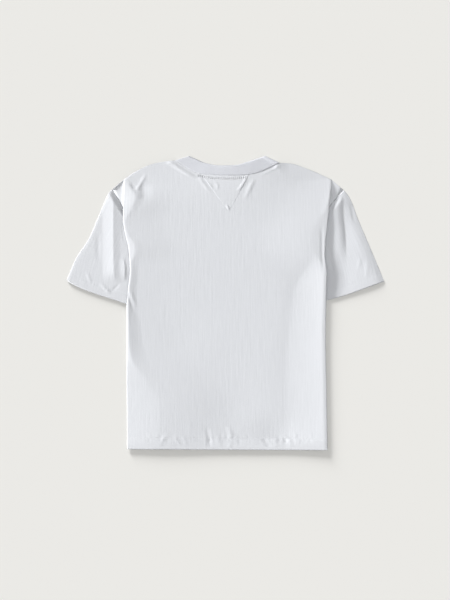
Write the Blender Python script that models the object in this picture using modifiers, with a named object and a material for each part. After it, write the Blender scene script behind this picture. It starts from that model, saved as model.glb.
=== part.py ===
"""White cotton T-shirt that lies flat on its front, with both sides of the body tucked under.

The tables are in millimetres. X runs across the garment, Y from the hem to the neck and Z up from the
surface that it lies on. A layer is counted from that surface: the front panel lies on it, the back panel on
the front panel. Each panel is an open surface through sections across the garment, made solid as cloth.
"""

from typing import NamedTuple

import bmesh
import bpy
import numpy as np

MM = 0.001
COLLECTION = "t_shirt"

# Cloth
WALL = 1.2           # jersey, as thick as a soft wall of it looks
HEM_WALL = 1.9       # jersey turned up once
RIB_WALL = 1.8       # doubled rib of the neckband
GUSSET_WALL = 1.0
GAP = 0.3            # between two pieces at a seam
LAYER = WALL + GAP
HEM_DEPTH = 25.0

# Body
HEM_LEFT = -320.7
HEM_RIGHT = -322.9
BACK_REST = 2.9      # middle of the back panel's wall, where it lies on the front panel
FRONT_REST = WALL / 2
SHOULDER_EDGE = FRONT_REST + LAYER
EDGE_ROLL = 12.0     # width over which the cloth rolls down to the shoulder line
FOLD_ROUND = 5.0     # width of the rounding at a side fold
INNER_FOLD_ROUND = 1.4
COLUMN_EASING = 1.15     # above 1, the columns of a panel stand closer together beside its side folds
HEM_SEAM_STEP = 1.0      # over which the cloth thickens at the top of the hem
HEM_EDGE_STEP = 3.0
HEM_MARGIN = 8           # columns at each side of the back panel that keep the wall of plain jersey
HEM_ROWS = 3             # last rows of a piece, that are as thick as the hem
BACK_ROWS = (0, 1.2, 3.5, 7, 12, 20, 29, 38, 45, 51, 55, 59, 63, 68, 75, 87, 101)
BACK_ROW_STEP = 18.0
FRONT_ROWS = (0, 8, 19, 28, 33, 39, 44, 49, 55, 66, 84)
FRONT_ROW_STEP = 24.0

# Neck
NECK_HALF = 113.3    # from the centre line to where the neckband turns under
NECK_MARGIN = 8.0    # beyond that, as far as the panel is level with the neckband
NECK_BLEND = 24.0
NECK_LEFT_Y = 314.0
NECK_RIGHT_Y = 308.6
BAND_HEIGHT = 3.4    # middle of the neckband's wall at the back
FRONT_NECK_DROP = 197.0
FRONT_RIM_HALF = 83.0
FRONT_RIM_DROP = 219.0
FRONT_RIM_SWING = (6.0, 5.0)     # outward and down, halfway between the shoulders and the lowest point
BAND_STEPS = 4
BAND_TURN = 2.5      # width of the rounding where the neckband turns under
BAND_TURN_CLEAR = 1.8
NECK_STEPS = 12      # columns of both panels and sections of the neckband across the neck
GUSSET_TOP_LEFT = -57.0
GUSSET_TOP_RIGHT = 47.0
GUSSET_POINT = (2.9, 203.0)
GUSSET_POINT_HALF = 1.2
GUSSET_GAP = 0.4     # to the back panel, with room for the facets of both
GUSSET_STEPS = (8, 9)

# Sleeves
SLEEVE_ROUND = 6.0
UNDERARM_ROUND = 1.0
SLEEVE_SWELL = 2.6   # how far the upper layer stands off once it is clear of the body
SWELL_WIDTH = 22.0
SEAM_BLEND = 16.0
TUCK_START = 226.0   # y from which the body's side lies over the seam of the sleeve
TUCK_BLEND = 14.0
ARMHOLE_POINTS = 40
SLEEVE_COLUMNS = 10
RING_STEPS = (0, 0.03, 0.06, 0.1, 0.18, 0.28, 0.4, 0.52, 0.64, 0.76, 0.87, 0.905, 0.985, 1.0)


class SideRow(NamedTuple):
    """A section across a side fold of the back panel; x is counted outward from the centre line."""

    y: float        # where the section meets the fold
    fold: float     # x of the fold's edge
    edge: float     # height at the edge
    inset: float    # from the edge to the crest
    crest: float    # height of the crest
    reach: float    # from the crest to where the panel lies flat again
    low: float      # height of the cloth under the fold
    seam_x: float   # where the panel ends
    seam_y: float
    seam_z: float


LEFT_SIDE = (
    SideRow(271.6, 227.7, 3.6, 12, 4.5, 40, 2.9, 253.0, 250.3, 2.9),
    SideRow(252.0, 227.4, 6.0, 24, 9.0, 60, 2.9, 246.5, 239.5, 2.9),
    SideRow(234.0, 228.2, 7.8, 26, 10.5, 66, 3.2, 239.0, 228.5, 2.9),
    SideRow(220.0, 228.8, 9.4, 18, 11.1, 66, 4.4, 232.8, 217.5, 2.9),
    SideRow(212.0, 229.1, 10.0, 14, 11.3, 64, 5.8, 228.7, 210.5, 4.0),
    SideRow(203.0, 229.3, 10.5, 10, 11.5, 62, 4.2, 223.0, 201.0, 3.9),
    SideRow(188.0, 229.4, 11.2, 7, 12.0, 58, 3.9, 219.0, 188.0, 3.9),
    SideRow(157.0, 225.5, 11.8, 8, 12.6, 56, 3.9, 212.5, 157.0, 3.9),
    SideRow(126.0, 218.3, 12.4, 8, 13.2, 54, 3.9, 206.0, 126.0, 3.9),
    SideRow(113.0, 216.5, 12.6, 7, 13.4, 58, 3.9, 202.0, 112.0, 3.9),
    SideRow(104.0, 215.8, 12.8, 6, 13.6, 62, 3.9, 191.0, 103.0, 3.9),
    SideRow(73.0, 214.5, 13.2, 4, 13.6, 64, 3.9, 197.0, 73.0, 3.9),
    SideRow(29.0, 222.6, 13.2, 4, 13.6, 68, 4.3, 200.0, 29.0, 4.3),
    SideRow(-16.0, 222.0, 12.8, 4, 13.1, 68, 4.5, 202.0, -16.0, 4.5),
    SideRow(-50.0, 221.9, 10.6, 5, 11.1, 68, 1.8, 202.5, -50.0, 1.8),
    SideRow(-85.0, 221.8, 8.8, 6, 9.4, 70, 0.6, 203.0, -85.0, 0.6),
    SideRow(-150.0, 221.5, 7.0, 12, 8.0, 80, 0.6, 203.0, -150.0, 0.6),
    SideRow(-230.0, 221.0, 6.1, 30, 7.3, 100, 0.6, 203.0, -230.0, 0.6),
    SideRow(HEM_LEFT, 220.4, 5.9, 36, 7.0, 110, 0.6, 203.0, HEM_LEFT, 0.6),
)
RIGHT_SIDE = (
    SideRow(272.0, 228.4, 3.6, 3, 3.8, 40, 2.9, 255.2, 249.2, 2.9),
    SideRow(252.0, 227.2, 6.4, 3, 6.8, 45, 2.9, 246.5, 239.5, 2.9),
    SideRow(234.0, 225.3, 8.6, 3, 9.1, 50, 3.2, 236.5, 227.5, 2.9),
    SideRow(220.0, 223.9, 10.0, 3, 10.5, 52, 4.4, 227.8, 217.5, 2.9),
    SideRow(212.0, 223.2, 10.5, 3, 11.0, 54, 5.8, 222.8, 210.5, 4.0),
    SideRow(203.0, 222.4, 11.0, 3, 11.5, 55, 4.2, 217.0, 201.0, 3.9),
    SideRow(188.0, 221.0, 11.6, 4, 12.1, 55, 3.9, 213.5, 187.6, 3.9),
    SideRow(157.0, 217.8, 12.0, 5, 12.6, 56, 3.9, 208.0, 156.8, 3.9),
    SideRow(126.0, 214.5, 12.4, 6, 13.1, 58, 3.9, 204.0, 126.0, 3.9),
    SideRow(113.0, 214.0, 12.5, 6, 13.2, 59, 3.9, 201.0, 112.0, 3.9),
    SideRow(104.0, 213.8, 12.6, 6, 13.3, 60, 3.9, 190.0, 103.0, 3.9),
    SideRow(64.0, 218.2, 12.6, 4, 13.2, 62, 4.0, 197.0, 64.0, 4.0),
    SideRow(9.0, 216.7, 12.6, 3, 13.0, 64, 4.5, 198.0, 9.0, 4.5),
    SideRow(-25.0, 216.1, 10.8, 3, 11.2, 64, 2.3, 199.0, -25.0, 2.3),
    SideRow(-63.0, 215.4, 8.9, 3, 9.3, 63, 0.6, 201.0, -63.0, 0.6),
    SideRow(-200.0, 217.5, 8.4, 3, 8.8, 62, 0.6, 201.5, -200.0, 0.6),
    SideRow(HEM_RIGHT, 219.6, 7.8, 3, 8.2, 60, 0.6, 203.0, HEM_RIGHT, 0.6),
)

# The front panel lies inside the back panel's folds. Above the tuck it runs on flat to the armhole.
FRONT_TOP_ROWS = (
    SideRow(271.8, 228.0, 0.6, 3, 0.6, 45, 0.6, 252.0, 249.6, 0.6),
    SideRow(252.0, 226.0, 0.6, 3, 0.6, 45, 0.6, 245.0, 239.0, 0.6),
    SideRow(239.0, 223.5, 1.3, 3, 1.6, 50, 0.8, 236.5, 230.0, 0.6),
    SideRow(229.0, 222.9, 4.6, 3, 4.9, 50, 2.7, 222.5, 228.0, 1.8),
)
FRONT_LEFT_TUCK = SideRow(219.0, 224.2, 7.9, 3, 8.3, 52, 5.6, 219.0, 218.0, 5.6)
FRONT_RIGHT_TUCK = SideRow(219.0, 221.4, 7.9, 3, 8.3, 52, 5.6, 216.0, 218.0, 5.6)
FRONT_JOINS_BACK_BELOW = 210.0
FRONT_INSET = 2.7    # from the back panel's fold to the front panel's
FRONT_DROP = 2.5     # from the back panel's crest down to the front panel's
TUCK_LAYER = 1.9     # between the middles of the two walls that are tucked under
FRONT_FOLD_RISE = 1.8    # least height of the front panel's fold over its tucked layer
FRONT_CREST_RISE = 1.9
FRONT_LEAST_INSET = 0.8


class EdgePoint(NamedTuple):
    """A point of the back panel's top edge; x runs to the right."""

    x: float
    y: float


LEFT_SHOULDER = (
    EdgePoint(-227.7, 271.6),
    EdgePoint(-201.5, 289.4),
    EdgePoint(-163.5, 306.4),
    EdgePoint(-132.4, 312.1),
    EdgePoint(-NECK_HALF, NECK_LEFT_Y),
)
BACK_NECK = (
    EdgePoint(-NECK_HALF, NECK_LEFT_Y),
    EdgePoint(-93.5, 299.5),
    EdgePoint(-56.8, 284.4),
    EdgePoint(-20.0, 281.6),
    EdgePoint(20.0, 281.4),
    EdgePoint(56.1, 284.6),
    EdgePoint(95.0, 299.0),
    EdgePoint(NECK_HALF, NECK_RIGHT_Y),
)
RIGHT_SHOULDER = (
    EdgePoint(NECK_HALF, NECK_RIGHT_Y),
    EdgePoint(135.1, 307.6),
    EdgePoint(185.5, 291.6),
    EdgePoint(210.8, 280.4),
    EdgePoint(228.4, 272.0),
)
BACK_RIM = (
    EdgePoint(-83.6, 323.3),
    EdgePoint(-71.0, 317.6),
    EdgePoint(-47.0, 307.8),
    EdgePoint(-17.0, 302.8),
    EdgePoint(15.0, 303.4),
    EdgePoint(44.0, 310.8),
    EdgePoint(68.0, 318.6),
    EdgePoint(82.5, 323.4),
)


class Ridge(NamedTuple):
    """A soft ridge that runs down a sleeve; x is counted outward from the centre line."""

    x: float
    width: float
    height: float
    top: float
    bottom: float
    fade: float


class Sleeve(NamedTuple):
    """Plan of a sleeve; the points go outward, x is counted from the centre line."""

    name: str
    sign: int
    side: tuple
    top_edge: tuple
    cuff: tuple
    ridges: tuple


SLEEVES = (
    Sleeve(
        "sleeve_left", -1, LEFT_SIDE,
        top_edge=((261.1, 241.7), (277.9, 203.6), (306.5, 139.2), (332.6, 98.7), (353.0, 51.0)),
        cuff=((353.0, 51.0), (343.5, 43.0), (225.5, -0.3), (189.0, -13.0)),
        ridges=(Ridge(248.0, 10.0, 4.6, 246.0, 55.0, 30.0),),
    ),
    Sleeve(
        "sleeve_right", 1, RIGHT_SIDE,
        top_edge=((268.8, 231.1), (286.7, 185.6), (314.4, 120.0), (344.7, 47.9)),
        cuff=((344.7, 47.9), (254.1, 16.0), (218.5, 6.6), (186.0, 0.5)),
        ridges=(Ridge(253.0, 8.0, 3.6, 236.0, 30.0, 26.0),),
    ),
)
ARMHOLE_BOTTOM = 104.0

JERSEY_WHITE = (0.745, 0.760, 0.795)
RIB_WHITE = (0.735, 0.750, 0.790)


def smooth(knots, values, at):
    """Read a smooth curve through values at rising knots; it never swings past its own points."""
    knots, values, at = np.asarray(knots, float), np.asarray(values, float), np.asarray(at, float)
    values = values.reshape(len(knots), -1)
    span = np.diff(knots)[:, None]
    rise = np.diff(values, axis=0) / span
    slope = np.concatenate([rise[:1], np.zeros_like(rise[1:]), rise[-1:]])
    product = rise[1:] * rise[:-1]
    total = np.where(product > 0, rise[1:] + rise[:-1], 1.0)
    slope[1:-1] = np.where(product > 0, 2 * product / total, 0.0)
    flat = np.clip(at.ravel(), knots[0], knots[-1])
    k = np.clip(np.searchsorted(knots, flat, side="right") - 1, 0, len(knots) - 2)
    t = ((flat - knots[k]) / span[k, 0])[:, None]
    start, end = values[k], values[k + 1]
    lift_start, lift_end = slope[k] * span[k], slope[k + 1] * span[k]
    curve = (
        (2 * t ** 3 - 3 * t ** 2 + 1) * start + (t ** 3 - 2 * t ** 2 + t) * lift_start
        + (3 * t ** 2 - 2 * t ** 3) * end + (t ** 3 - t ** 2) * lift_end
    )
    return curve.reshape(at.shape + (values.shape[1],))


def ease(t):
    """Go softly from 0 to 1 as t does."""
    t = np.clip(t, 0.0, 1.0)
    return t * t * (3 - 2 * t)


def roll(t):
    """Rise from 0 to 1 as the quarter of a circle does."""
    return np.sqrt(1 - (1 - np.clip(t, 0.0, 1.0)) ** 2)


def side_at(side, y):
    """Give every value of a side's sections at y."""
    rows = np.array(side)
    values = smooth(-rows[:, 0], rows, -np.asarray(y, float))
    return SideRow(*np.moveaxis(values, -1, 0))


def shoulder_line(x):
    """Give y of the back panel's top edge at x."""
    x = np.asarray(x, float)
    parts = [np.array(points) for points in (LEFT_SHOULDER, BACK_NECK, RIGHT_SHOULDER)]
    left, neck, right = (smooth(p[:, 0], p[:, 1], x)[..., 0] for p in parts)
    return np.where(x < -NECK_HALF, left, np.where(x > NECK_HALF, right, neck))


def front_top_line(x):
    """Give y of the front panel's top edge at x: the shoulders, and the deep round front neck."""
    x = np.asarray(x, float)
    corner = np.interp(x, (-NECK_HALF, NECK_HALF), (NECK_LEFT_Y, NECK_RIGHT_Y))
    bowl = np.sqrt(np.clip(1 - (x / NECK_HALF) ** 2, 0, 1))
    neck = corner - (corner - FRONT_NECK_DROP) * bowl
    return np.where(np.abs(x) < NECK_HALF, neck, shoulder_line(x))


def hem_line(x):
    """Give y of the hem at x."""
    return np.interp(x, (-LEFT_SIDE[-1].fold, RIGHT_SIDE[-1].fold), (HEM_LEFT, HEM_RIGHT))


def panel_height(x, y, sides, rest):
    """Give the height of a panel's wall: flat in the middle, a crest beside each side fold."""
    height = np.full(np.shape(x), rest)
    for sign, side in zip((-1, 1), sides):
        row = side_at(side, y)
        inside = row.fold - sign * x
        to_crest = 2 * ease(0.5 + 0.5 * inside / row.inset) - 1
        outer = row.edge + (row.crest - row.edge) * to_crest
        falling = 1 - ease((inside - row.inset) / row.reach)
        inner = rest + (row.crest - rest) * falling
        height = height + np.where(inside < row.inset, outer, inner) - rest
    return height


def neck_zone(x):
    """Give 1 across the neck and 0 over the shoulders."""
    return ease((NECK_HALF + NECK_MARGIN - np.abs(x)) / NECK_BLEND)


def back_height(x, y):
    """Give the height of the back panel, rolled down to the shoulders and level with the neckband."""
    edge = SHOULDER_EDGE + (BAND_HEIGHT - SHOULDER_EDGE) * neck_zone(x)
    full = panel_height(x, y, (LEFT_SIDE, RIGHT_SIDE), BACK_REST)
    return edge + (full - edge) * roll((shoulder_line(x) - y) / EDGE_ROLL)


def through(guides, counts):
    """Draw a soft curve by its guide points: it starts at the first, ends at the last and nears the others."""
    starts = [guides[0]] + [(a + b) / 2 for a, b in zip(guides[1:-2], guides[2:-1])]
    ends = starts[1:] + [guides[-1]]
    points = []
    for start, pull, end, count in zip(starts, guides[1:-1], ends, counts):
        for t in np.arange(1, count + 1) / count:
            points.append((1 - t) ** 2 * start + 2 * t * (1 - t) * pull + t * t * end)
    return points


def fold_under(sign, row, start, fade, rounding, counts):
    """Carry each section round its side fold to the seam.

    start holds the panel's last point of each section; fade is 0 where a section is at the shoulder's edge
    and 1 where it has its own heights.
    """
    edge, low, seam_z = (SHOULDER_EDGE + (z - SHOULDER_EDGE) * fade for z in (row.edge, row.low, row.seam_z))
    fold = np.stack([sign * row.fold, row.y], axis=-1)
    seam = np.stack([sign * row.seam_x, row.seam_y], axis=-1)
    way = seam - fold
    step = np.minimum(0.5, 2 * rounding / np.linalg.norm(way, axis=-1))[:, None]
    guides = [
        start,
        np.column_stack([fold, edge]),
        np.column_stack([fold, low]),
        np.column_stack([fold + way * step, low]),
        np.column_stack([seam, seam_z]),
    ]
    return np.stack(through(guides, counts), axis=1)


def neck_columns(count):
    """Place the columns across the neck, from left to right: at even angles round its bowl."""
    return NECK_HALF * np.cos(np.linspace(np.pi, 0, count + 1))


def across(left, right, zone_counts):
    """Place the columns of each section: shoulder, neck, shoulder, with the neck's corners on a column."""
    outer, middle = zone_counts
    t = np.linspace(0, 1, outer + 1)[:-1] ** COLUMN_EASING
    shoulders = [edge + (corner - edge) * t for edge, corner in ((left, -NECK_HALF), (right, NECK_HALF))]
    neck = np.broadcast_to(neck_columns(middle), (len(left), middle + 1))
    return np.concatenate([shoulders[0], neck, shoulders[1][:, ::-1]], axis=1)


def body_panel(sides, height, top_line, s_rows, fade, zone_counts, rounding, counts):
    """Build a body panel as a grid of points, one row for each section from the neck to the hem.

    s_rows places the sections as shares of the length, fade is as in fold_under, zone_counts are the columns
    beyond the neck and across it, rounding is the fold's and counts are the steps of its curve.
    """
    rows = []
    for side in sides:
        y = side[0].y + (side[-1].y - side[0].y) * s_rows
        rows.append(side_at(side, y))
    left = -(rows[0].fold - rounding)[:, None]
    right = (rows[1].fold - rounding)[:, None]
    x = across(left, right, zone_counts)
    top = top_line(x)
    y = top + (hem_line(x) - top) * s_rows[:, None]
    main = np.stack([x, y, height(x, y)], axis=-1)
    left_part = fold_under(-1, rows[0], main[:, 0], fade, rounding, counts)
    right_part = fold_under(1, rows[1], main[:, -1], fade, rounding, counts)
    return np.concatenate([left_part[:, ::-1], main, right_part], axis=1)


def section_rows(first, step, length):
    """Place the sections: close together under the shoulder and at the hem, and even between."""
    hem_top = length - HEM_DEPTH
    body = np.arange(first[-1] + step, hem_top - step / 2, step)
    hem = np.array([hem_top - HEM_SEAM_STEP, hem_top, length - HEM_EDGE_STEP, length])
    return np.concatenate([first, body, hem]) / length


def front_side(side, first_rows):
    """Work out the front panel's sections from the back panel's, one wall inside its folds."""
    rows = list(first_rows)
    for row in side:
        if row.y > FRONT_JOINS_BACK_BELOW:
            continue
        low = row.low + TUCK_LAYER
        rows.append(SideRow(
            row.y, row.fold - FRONT_INSET, max(row.edge - FRONT_DROP, low + FRONT_FOLD_RISE),
            max(row.inset - FRONT_INSET, FRONT_LEAST_INSET),
            max(row.crest - FRONT_DROP, low + FRONT_CREST_RISE), row.reach, low,
            row.seam_x, row.seam_y, low,
        ))
    return tuple(rows)


def sleeve_height(x, y, sleeve):
    """Give the height of a sleeve's upper layer: flat under the body, loose and ridged outside it."""
    outward = sleeve.sign * x
    clear = outward - side_at(sleeve.side, y).fold
    height = FRONT_REST + LAYER + SLEEVE_SWELL * ease(clear / SWELL_WIDTH)
    for ridge in sleeve.ridges:
        span = ease((ridge.top - y) / ridge.fade) * ease((y - ridge.bottom) / ridge.fade)
        bump = np.exp(-(((outward - ridge.x) / ridge.width) ** 2))
        height = height + ridge.height * span * bump * ease(clear / SWELL_WIDTH)
    return height


def along(points, count):
    """Read a polyline at even steps of its length, rounded at its corners."""
    points = np.array(points, float)
    knots = np.concatenate([[0], np.cumsum(np.linalg.norm(np.diff(points, axis=0), axis=1))])
    return smooth(knots / knots[-1], points, count)


def sleeve_grid(sleeve, ring_steps, upper_steps):
    """Build a sleeve as rings from the armhole to the cuff, each flattened on the surface."""
    armhole_y = np.linspace(sleeve.side[0].y, ARMHOLE_BOTTOM, ARMHOLE_POINTS)
    rows = side_at(sleeve.side, armhole_y)
    tucked = ease((TUCK_START - rows.y) / TUCK_BLEND)
    armhole = np.column_stack([
        rows.seam_x + 2 * GAP + WALL / 2 * tucked,
        rows.seam_y,
        rows.seam_z + (SHOULDER_EDGE - rows.seam_z) * tucked])
    start, under_start = armhole[0, :2], armhole[-1, :2]
    tip, under_end = np.array(sleeve.cuff[0]), np.array(sleeve.cuff[-1])
    top_edge = np.array([start, *sleeve.top_edge])

    def plan(t, w):
        """Blend the sleeve's four edges: t from armhole to cuff, w from the top edge to the underarm."""
        t, w = np.broadcast_arrays(np.asarray(t, float), np.atleast_1d(np.asarray(w, float)))
        arm, cuff = along(armhole, w)[..., :2], along(sleeve.cuff, w)
        top, under = along(top_edge, t), under_start + (under_end - under_start) * t[..., None]
        t, w = t[..., None], w[..., None]
        corners = (1 - t) * ((1 - w) * start + w * under_start) + t * ((1 - w) * tip + w * under_end)
        return (1 - t) * arm + t * cuff + (1 - w) * top + w * under - corners

    def ring_points(t, w, z):
        """Give the places in space of points of one ring."""
        x, y = plan(t, w).T
        return np.column_stack([sleeve.sign * x, y, np.broadcast_to(z, x.shape)])

    rings = []
    for step in ring_steps:
        width = np.linalg.norm(plan(step, 1.0) - plan(step, 0.0))
        round_top, round_under = SLEEVE_ROUND / width, UNDERARM_ROUND / width
        w_upper = np.linspace(1 - round_under, round_top, upper_steps)
        x, y = plan(step, w_upper).T
        loose = sleeve_height(sleeve.sign * x, y, sleeve)
        seam_z = along(armhole, w_upper)[:, 2]
        joined = ease(step * np.linalg.norm(tip - start) / SEAM_BLEND)
        upper_z = seam_z + (loose - seam_z) * joined
        upper = ring_points(step, w_upper, upper_z)
        w_lower = np.linspace(round_top, 1 - round_under, upper_steps // 2)
        lower = ring_points(step, w_lower, FRONT_REST)
        high_edge = ring_points(step, 0.0, max(upper_z[-1], SHOULDER_EDGE))[0]
        low_edge = ring_points(step, 0.0, FRONT_REST)[0]
        under_high = ring_points(step, 1.0, upper_z[0])[0]
        under_low = ring_points(step, 1.0, FRONT_REST)[0]
        top_fold = through([upper[-1], high_edge, low_edge, lower[0]], (3, 3))
        under_fold = through([lower[-1], under_low, under_high, upper[0]], (2, 2))
        rings.append(np.array([*upper, *top_fold, *lower[1:], *under_fold[:-1]]))
    return np.array(rings)


def neckband_grid(steps, width_steps):
    """Build the neckband as sections round the neck: over the back, turned at the shoulders, under the front."""
    x = neck_columns(steps)
    seam = np.column_stack([x, shoulder_line(x)])
    lengths = np.concatenate([[0], np.cumsum(np.linalg.norm(np.diff(seam, axis=0), axis=1))])
    rim = along(BACK_RIM, lengths / lengths[-1])
    front_seam = np.column_stack([x, front_top_line(x)])[::-1]
    angle = np.linspace(0, np.pi, steps + 1)
    rim_y = np.linspace(BACK_RIM[-1].y, BACK_RIM[0].y, steps + 1)
    widen = np.sin(2 * angle)
    outward, down = FRONT_RIM_SWING
    front_rim = np.column_stack([
        FRONT_RIM_HALF * np.cos(angle) + outward * widen,
        rim_y - (rim_y - FRONT_RIM_DROP) * np.sin(angle) - down * np.abs(widen)])
    turn_seam = clear_of_panel(seam, rim, BAND_TURN_CLEAR)
    seam, front_seam = clear_of_panel(seam, rim, 2 * GAP), clear_of_panel(front_seam, front_rim, 2 * GAP)

    def section(seam_point, rim_point, z):
        """Put one section's points across the band's width."""
        t = np.linspace(0, 1, width_steps)[:, None]
        flat = np.asarray(seam_point) + (np.asarray(rim_point) - np.asarray(seam_point)) * t
        return np.column_stack([flat, np.full(width_steps, z)])

    low = RIB_WALL / 2
    back = [section(s, r, BAND_HEIGHT) for s, r in zip(seam, rim)]
    front = [section(s, r, low) for s, r in zip(front_seam, front_rim)]
    right_edge, left_edge = (turn_seam[-1], rim[-1]), (turn_seam[0], rim[0])
    # The turn starts one section before the edge, so the end sections are pulled in from it.
    back_in = [blend_in(back[0], back[1]), *back[1:-1], blend_in(back[-1], back[-2])]
    front_in = [blend_in(front[0], front[1]), *front[1:-1], blend_in(front[-1], front[-2])]
    right_turn = through(
        [back_in[-1], section(*right_edge, BAND_HEIGHT), section(*right_edge, low), front_in[0]], (3, 3))
    left_turn = through(
        [front_in[-1], section(*left_edge, low), section(*left_edge, BAND_HEIGHT), back_in[0]], (3, 3))
    return np.array([*back_in, *right_turn, *front_in[1:], *left_turn[:-1]])


def clear_of_panel(seam, rim, gap):
    """Move the band's seam edge off the panel's edge, towards its rim."""
    way = rim - seam
    return seam + way * (gap / np.linalg.norm(way, axis=1))[:, None]


def blend_in(end, neighbour):
    """Pull an end section in from the fold by the width of the fold's rounding."""
    gap = np.linalg.norm((neighbour - end)[:, :2], axis=1)[:, None]
    return end + (neighbour - end) * np.minimum(0.9, BAND_TURN / gap)


def gusset_grid(long_steps, wide_steps):
    """Build the V of the gusset on the back panel's points, moved out by half of each wall and the gap."""
    point_x, point_y = GUSSET_POINT
    lift = (WALL + GUSSET_WALL) / 2 + GUSSET_GAP
    rows = []
    for t in np.linspace(0, 1, long_steps):
        left = GUSSET_TOP_LEFT + (point_x - GUSSET_POINT_HALF - GUSSET_TOP_LEFT) * t
        right = GUSSET_TOP_RIGHT + (point_x + GUSSET_POINT_HALF - GUSSET_TOP_RIGHT) * t
        x = np.linspace(left, right, wide_steps)
        top = shoulder_line(x) - 2 * GAP
        y = top + (point_y - top) * t
        rows.append(np.column_stack([x, y, back_height(x, y) + lift]))
    return np.array(rows)


def jersey(name, colour, roughness):
    """Make the material of a piece of cloth."""
    material = bpy.data.materials.new(name)
    material.use_nodes = True
    shader = material.node_tree.nodes["Principled BSDF"]
    shader.inputs["Base Color"].default_value = (*colour, 1.0)
    shader.inputs["Roughness"].default_value = roughness
    shader.inputs["Metallic"].default_value = 0.0
    material.diffuse_color = (*colour, 1.0)
    return material


def add_wall(name, grid, wall, material, collection, loop=None, hem_columns=()):
    """Make a cloth wall from a grid of points; loop says which way the grid closes on itself.

    In the hem_columns the last rows are as thick as a hem; they thicken upward.
    """
    count, width = grid.shape[:2]
    thick = [(i, j) for i in range(count - HEM_ROWS, count) for j in hem_columns]
    for i, j in thick:
        grid[i, j, 2] += (HEM_WALL - WALL) / 2
    form = bmesh.new()
    points = [[form.verts.new(p * MM) for p in row] for row in grid]
    last_row = count if loop == "rows" else count - 1
    last_column = width if loop == "columns" else width - 1
    for i in range(last_row):
        for j in range(last_column):
            below, beside = (i + 1) % count, (j + 1) % width
            form.faces.new((points[i][j], points[below][j], points[below][beside], points[i][beside]))
    mesh = bpy.data.meshes.new(name)
    form.to_mesh(mesh)
    form.free()
    mesh.shade_smooth()
    piece = bpy.data.objects.new(name, mesh)
    mesh.materials.append(material)
    collection.objects.link(piece)
    solid = piece.modifiers.new("cloth", "SOLIDIFY")
    solid.offset = 0.0
    solid.use_even_offset = False
    solid.thickness = wall * MM
    if thick:
        hem = piece.vertex_groups.new(name="hem")
        hem.add([i * width + j for i, j in thick], 1.0, "REPLACE")
        solid.vertex_group = hem.name
        solid.thickness = HEM_WALL * MM
        solid.thickness_vertex_group = wall / HEM_WALL
    return piece


def build():
    """Build every piece of the garment."""
    for old in list(bpy.data.objects):
        bpy.data.objects.remove(old, do_unlink=True)
    collection = bpy.data.collections.new(COLLECTION)
    bpy.context.scene.collection.children.link(collection)
    white = jersey("white_jersey", JERSEY_WHITE, 0.9)
    rib = jersey("white_rib", RIB_WHITE, 0.92)

    length = LEFT_SIDE[0].y - HEM_LEFT
    back_rows = section_rows(BACK_ROWS, BACK_ROW_STEP, length)
    back = body_panel(
        (LEFT_SIDE, RIGHT_SIDE), back_height, shoulder_line, back_rows,
        roll(back_rows * length / EDGE_ROLL), (5, NECK_STEPS), FOLD_ROUND, (3, 3, 3))
    hem_columns = range(HEM_MARGIN, back.shape[1] - HEM_MARGIN)
    add_wall("back_panel", back, WALL, white, collection, hem_columns=hem_columns)

    front_sides = (
        front_side(LEFT_SIDE, (*FRONT_TOP_ROWS, FRONT_LEFT_TUCK)),
        front_side(RIGHT_SIDE, (*FRONT_TOP_ROWS, FRONT_RIGHT_TUCK)))
    front_rows = section_rows(FRONT_ROWS, FRONT_ROW_STEP, length)
    front = body_panel(
        front_sides, lambda x, y: panel_height(x, y, front_sides, FRONT_REST), front_top_line, front_rows,
        np.ones(len(front_rows)), (5, NECK_STEPS), INNER_FOLD_ROUND, (2, 2, 2))
    add_wall("front_panel", front, WALL, white, collection)

    for sleeve in SLEEVES:
        grid = sleeve_grid(sleeve, RING_STEPS, SLEEVE_COLUMNS)
        add_wall(sleeve.name, grid, WALL, white, collection, "columns", range(1, SLEEVE_COLUMNS))

    add_wall("neckband", neckband_grid(NECK_STEPS, BAND_STEPS), RIB_WALL, rib, collection, loop="rows")
    add_wall("neck_gusset", gusset_grid(*GUSSET_STEPS), GUSSET_WALL, white, collection)


build()
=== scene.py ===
"""White cotton T-shirt laid flat on its front: its looks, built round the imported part.

The tables are in millimetres and turn to metres where a mesh is made. X runs across the garment, Y from
the hem to the neck and Z up from the surface that it lies on.
"""

import logging
from dataclasses import dataclass, field
from enum import Enum
from typing import Any, Callable, ClassVar, NamedTuple, Sequence

import bpy
import numpy as np
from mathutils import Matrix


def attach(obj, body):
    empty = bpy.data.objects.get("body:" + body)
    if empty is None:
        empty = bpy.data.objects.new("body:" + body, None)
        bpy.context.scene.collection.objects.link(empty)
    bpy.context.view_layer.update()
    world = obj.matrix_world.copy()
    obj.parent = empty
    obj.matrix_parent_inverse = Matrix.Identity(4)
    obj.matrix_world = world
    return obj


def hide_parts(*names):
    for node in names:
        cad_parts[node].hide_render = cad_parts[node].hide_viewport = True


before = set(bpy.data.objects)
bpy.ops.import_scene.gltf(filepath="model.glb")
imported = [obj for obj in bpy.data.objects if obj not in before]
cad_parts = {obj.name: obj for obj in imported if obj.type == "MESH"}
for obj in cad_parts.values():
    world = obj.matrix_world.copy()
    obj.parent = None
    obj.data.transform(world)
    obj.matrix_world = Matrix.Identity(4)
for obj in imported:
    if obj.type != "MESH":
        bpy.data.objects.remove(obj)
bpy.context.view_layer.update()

LOG = logging.getLogger("t_shirt")
MM = 0.001
ROOT_BODY = "root"
GRAIN_MAP = "grain"  # the cloth's own coordinates in millimetres: U across the wales, V along them
PEAK_POWER = 1.25    # how fast a peaked flank falls at first

Array = np.ndarray
Point = tuple[float, float]
Socket = bpy.types.NodeSocket


class Side(Enum):
    """Which side of the centre line a piece is on, as the sign of its X."""

    LEFT = -1
    RIGHT = 1


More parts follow.
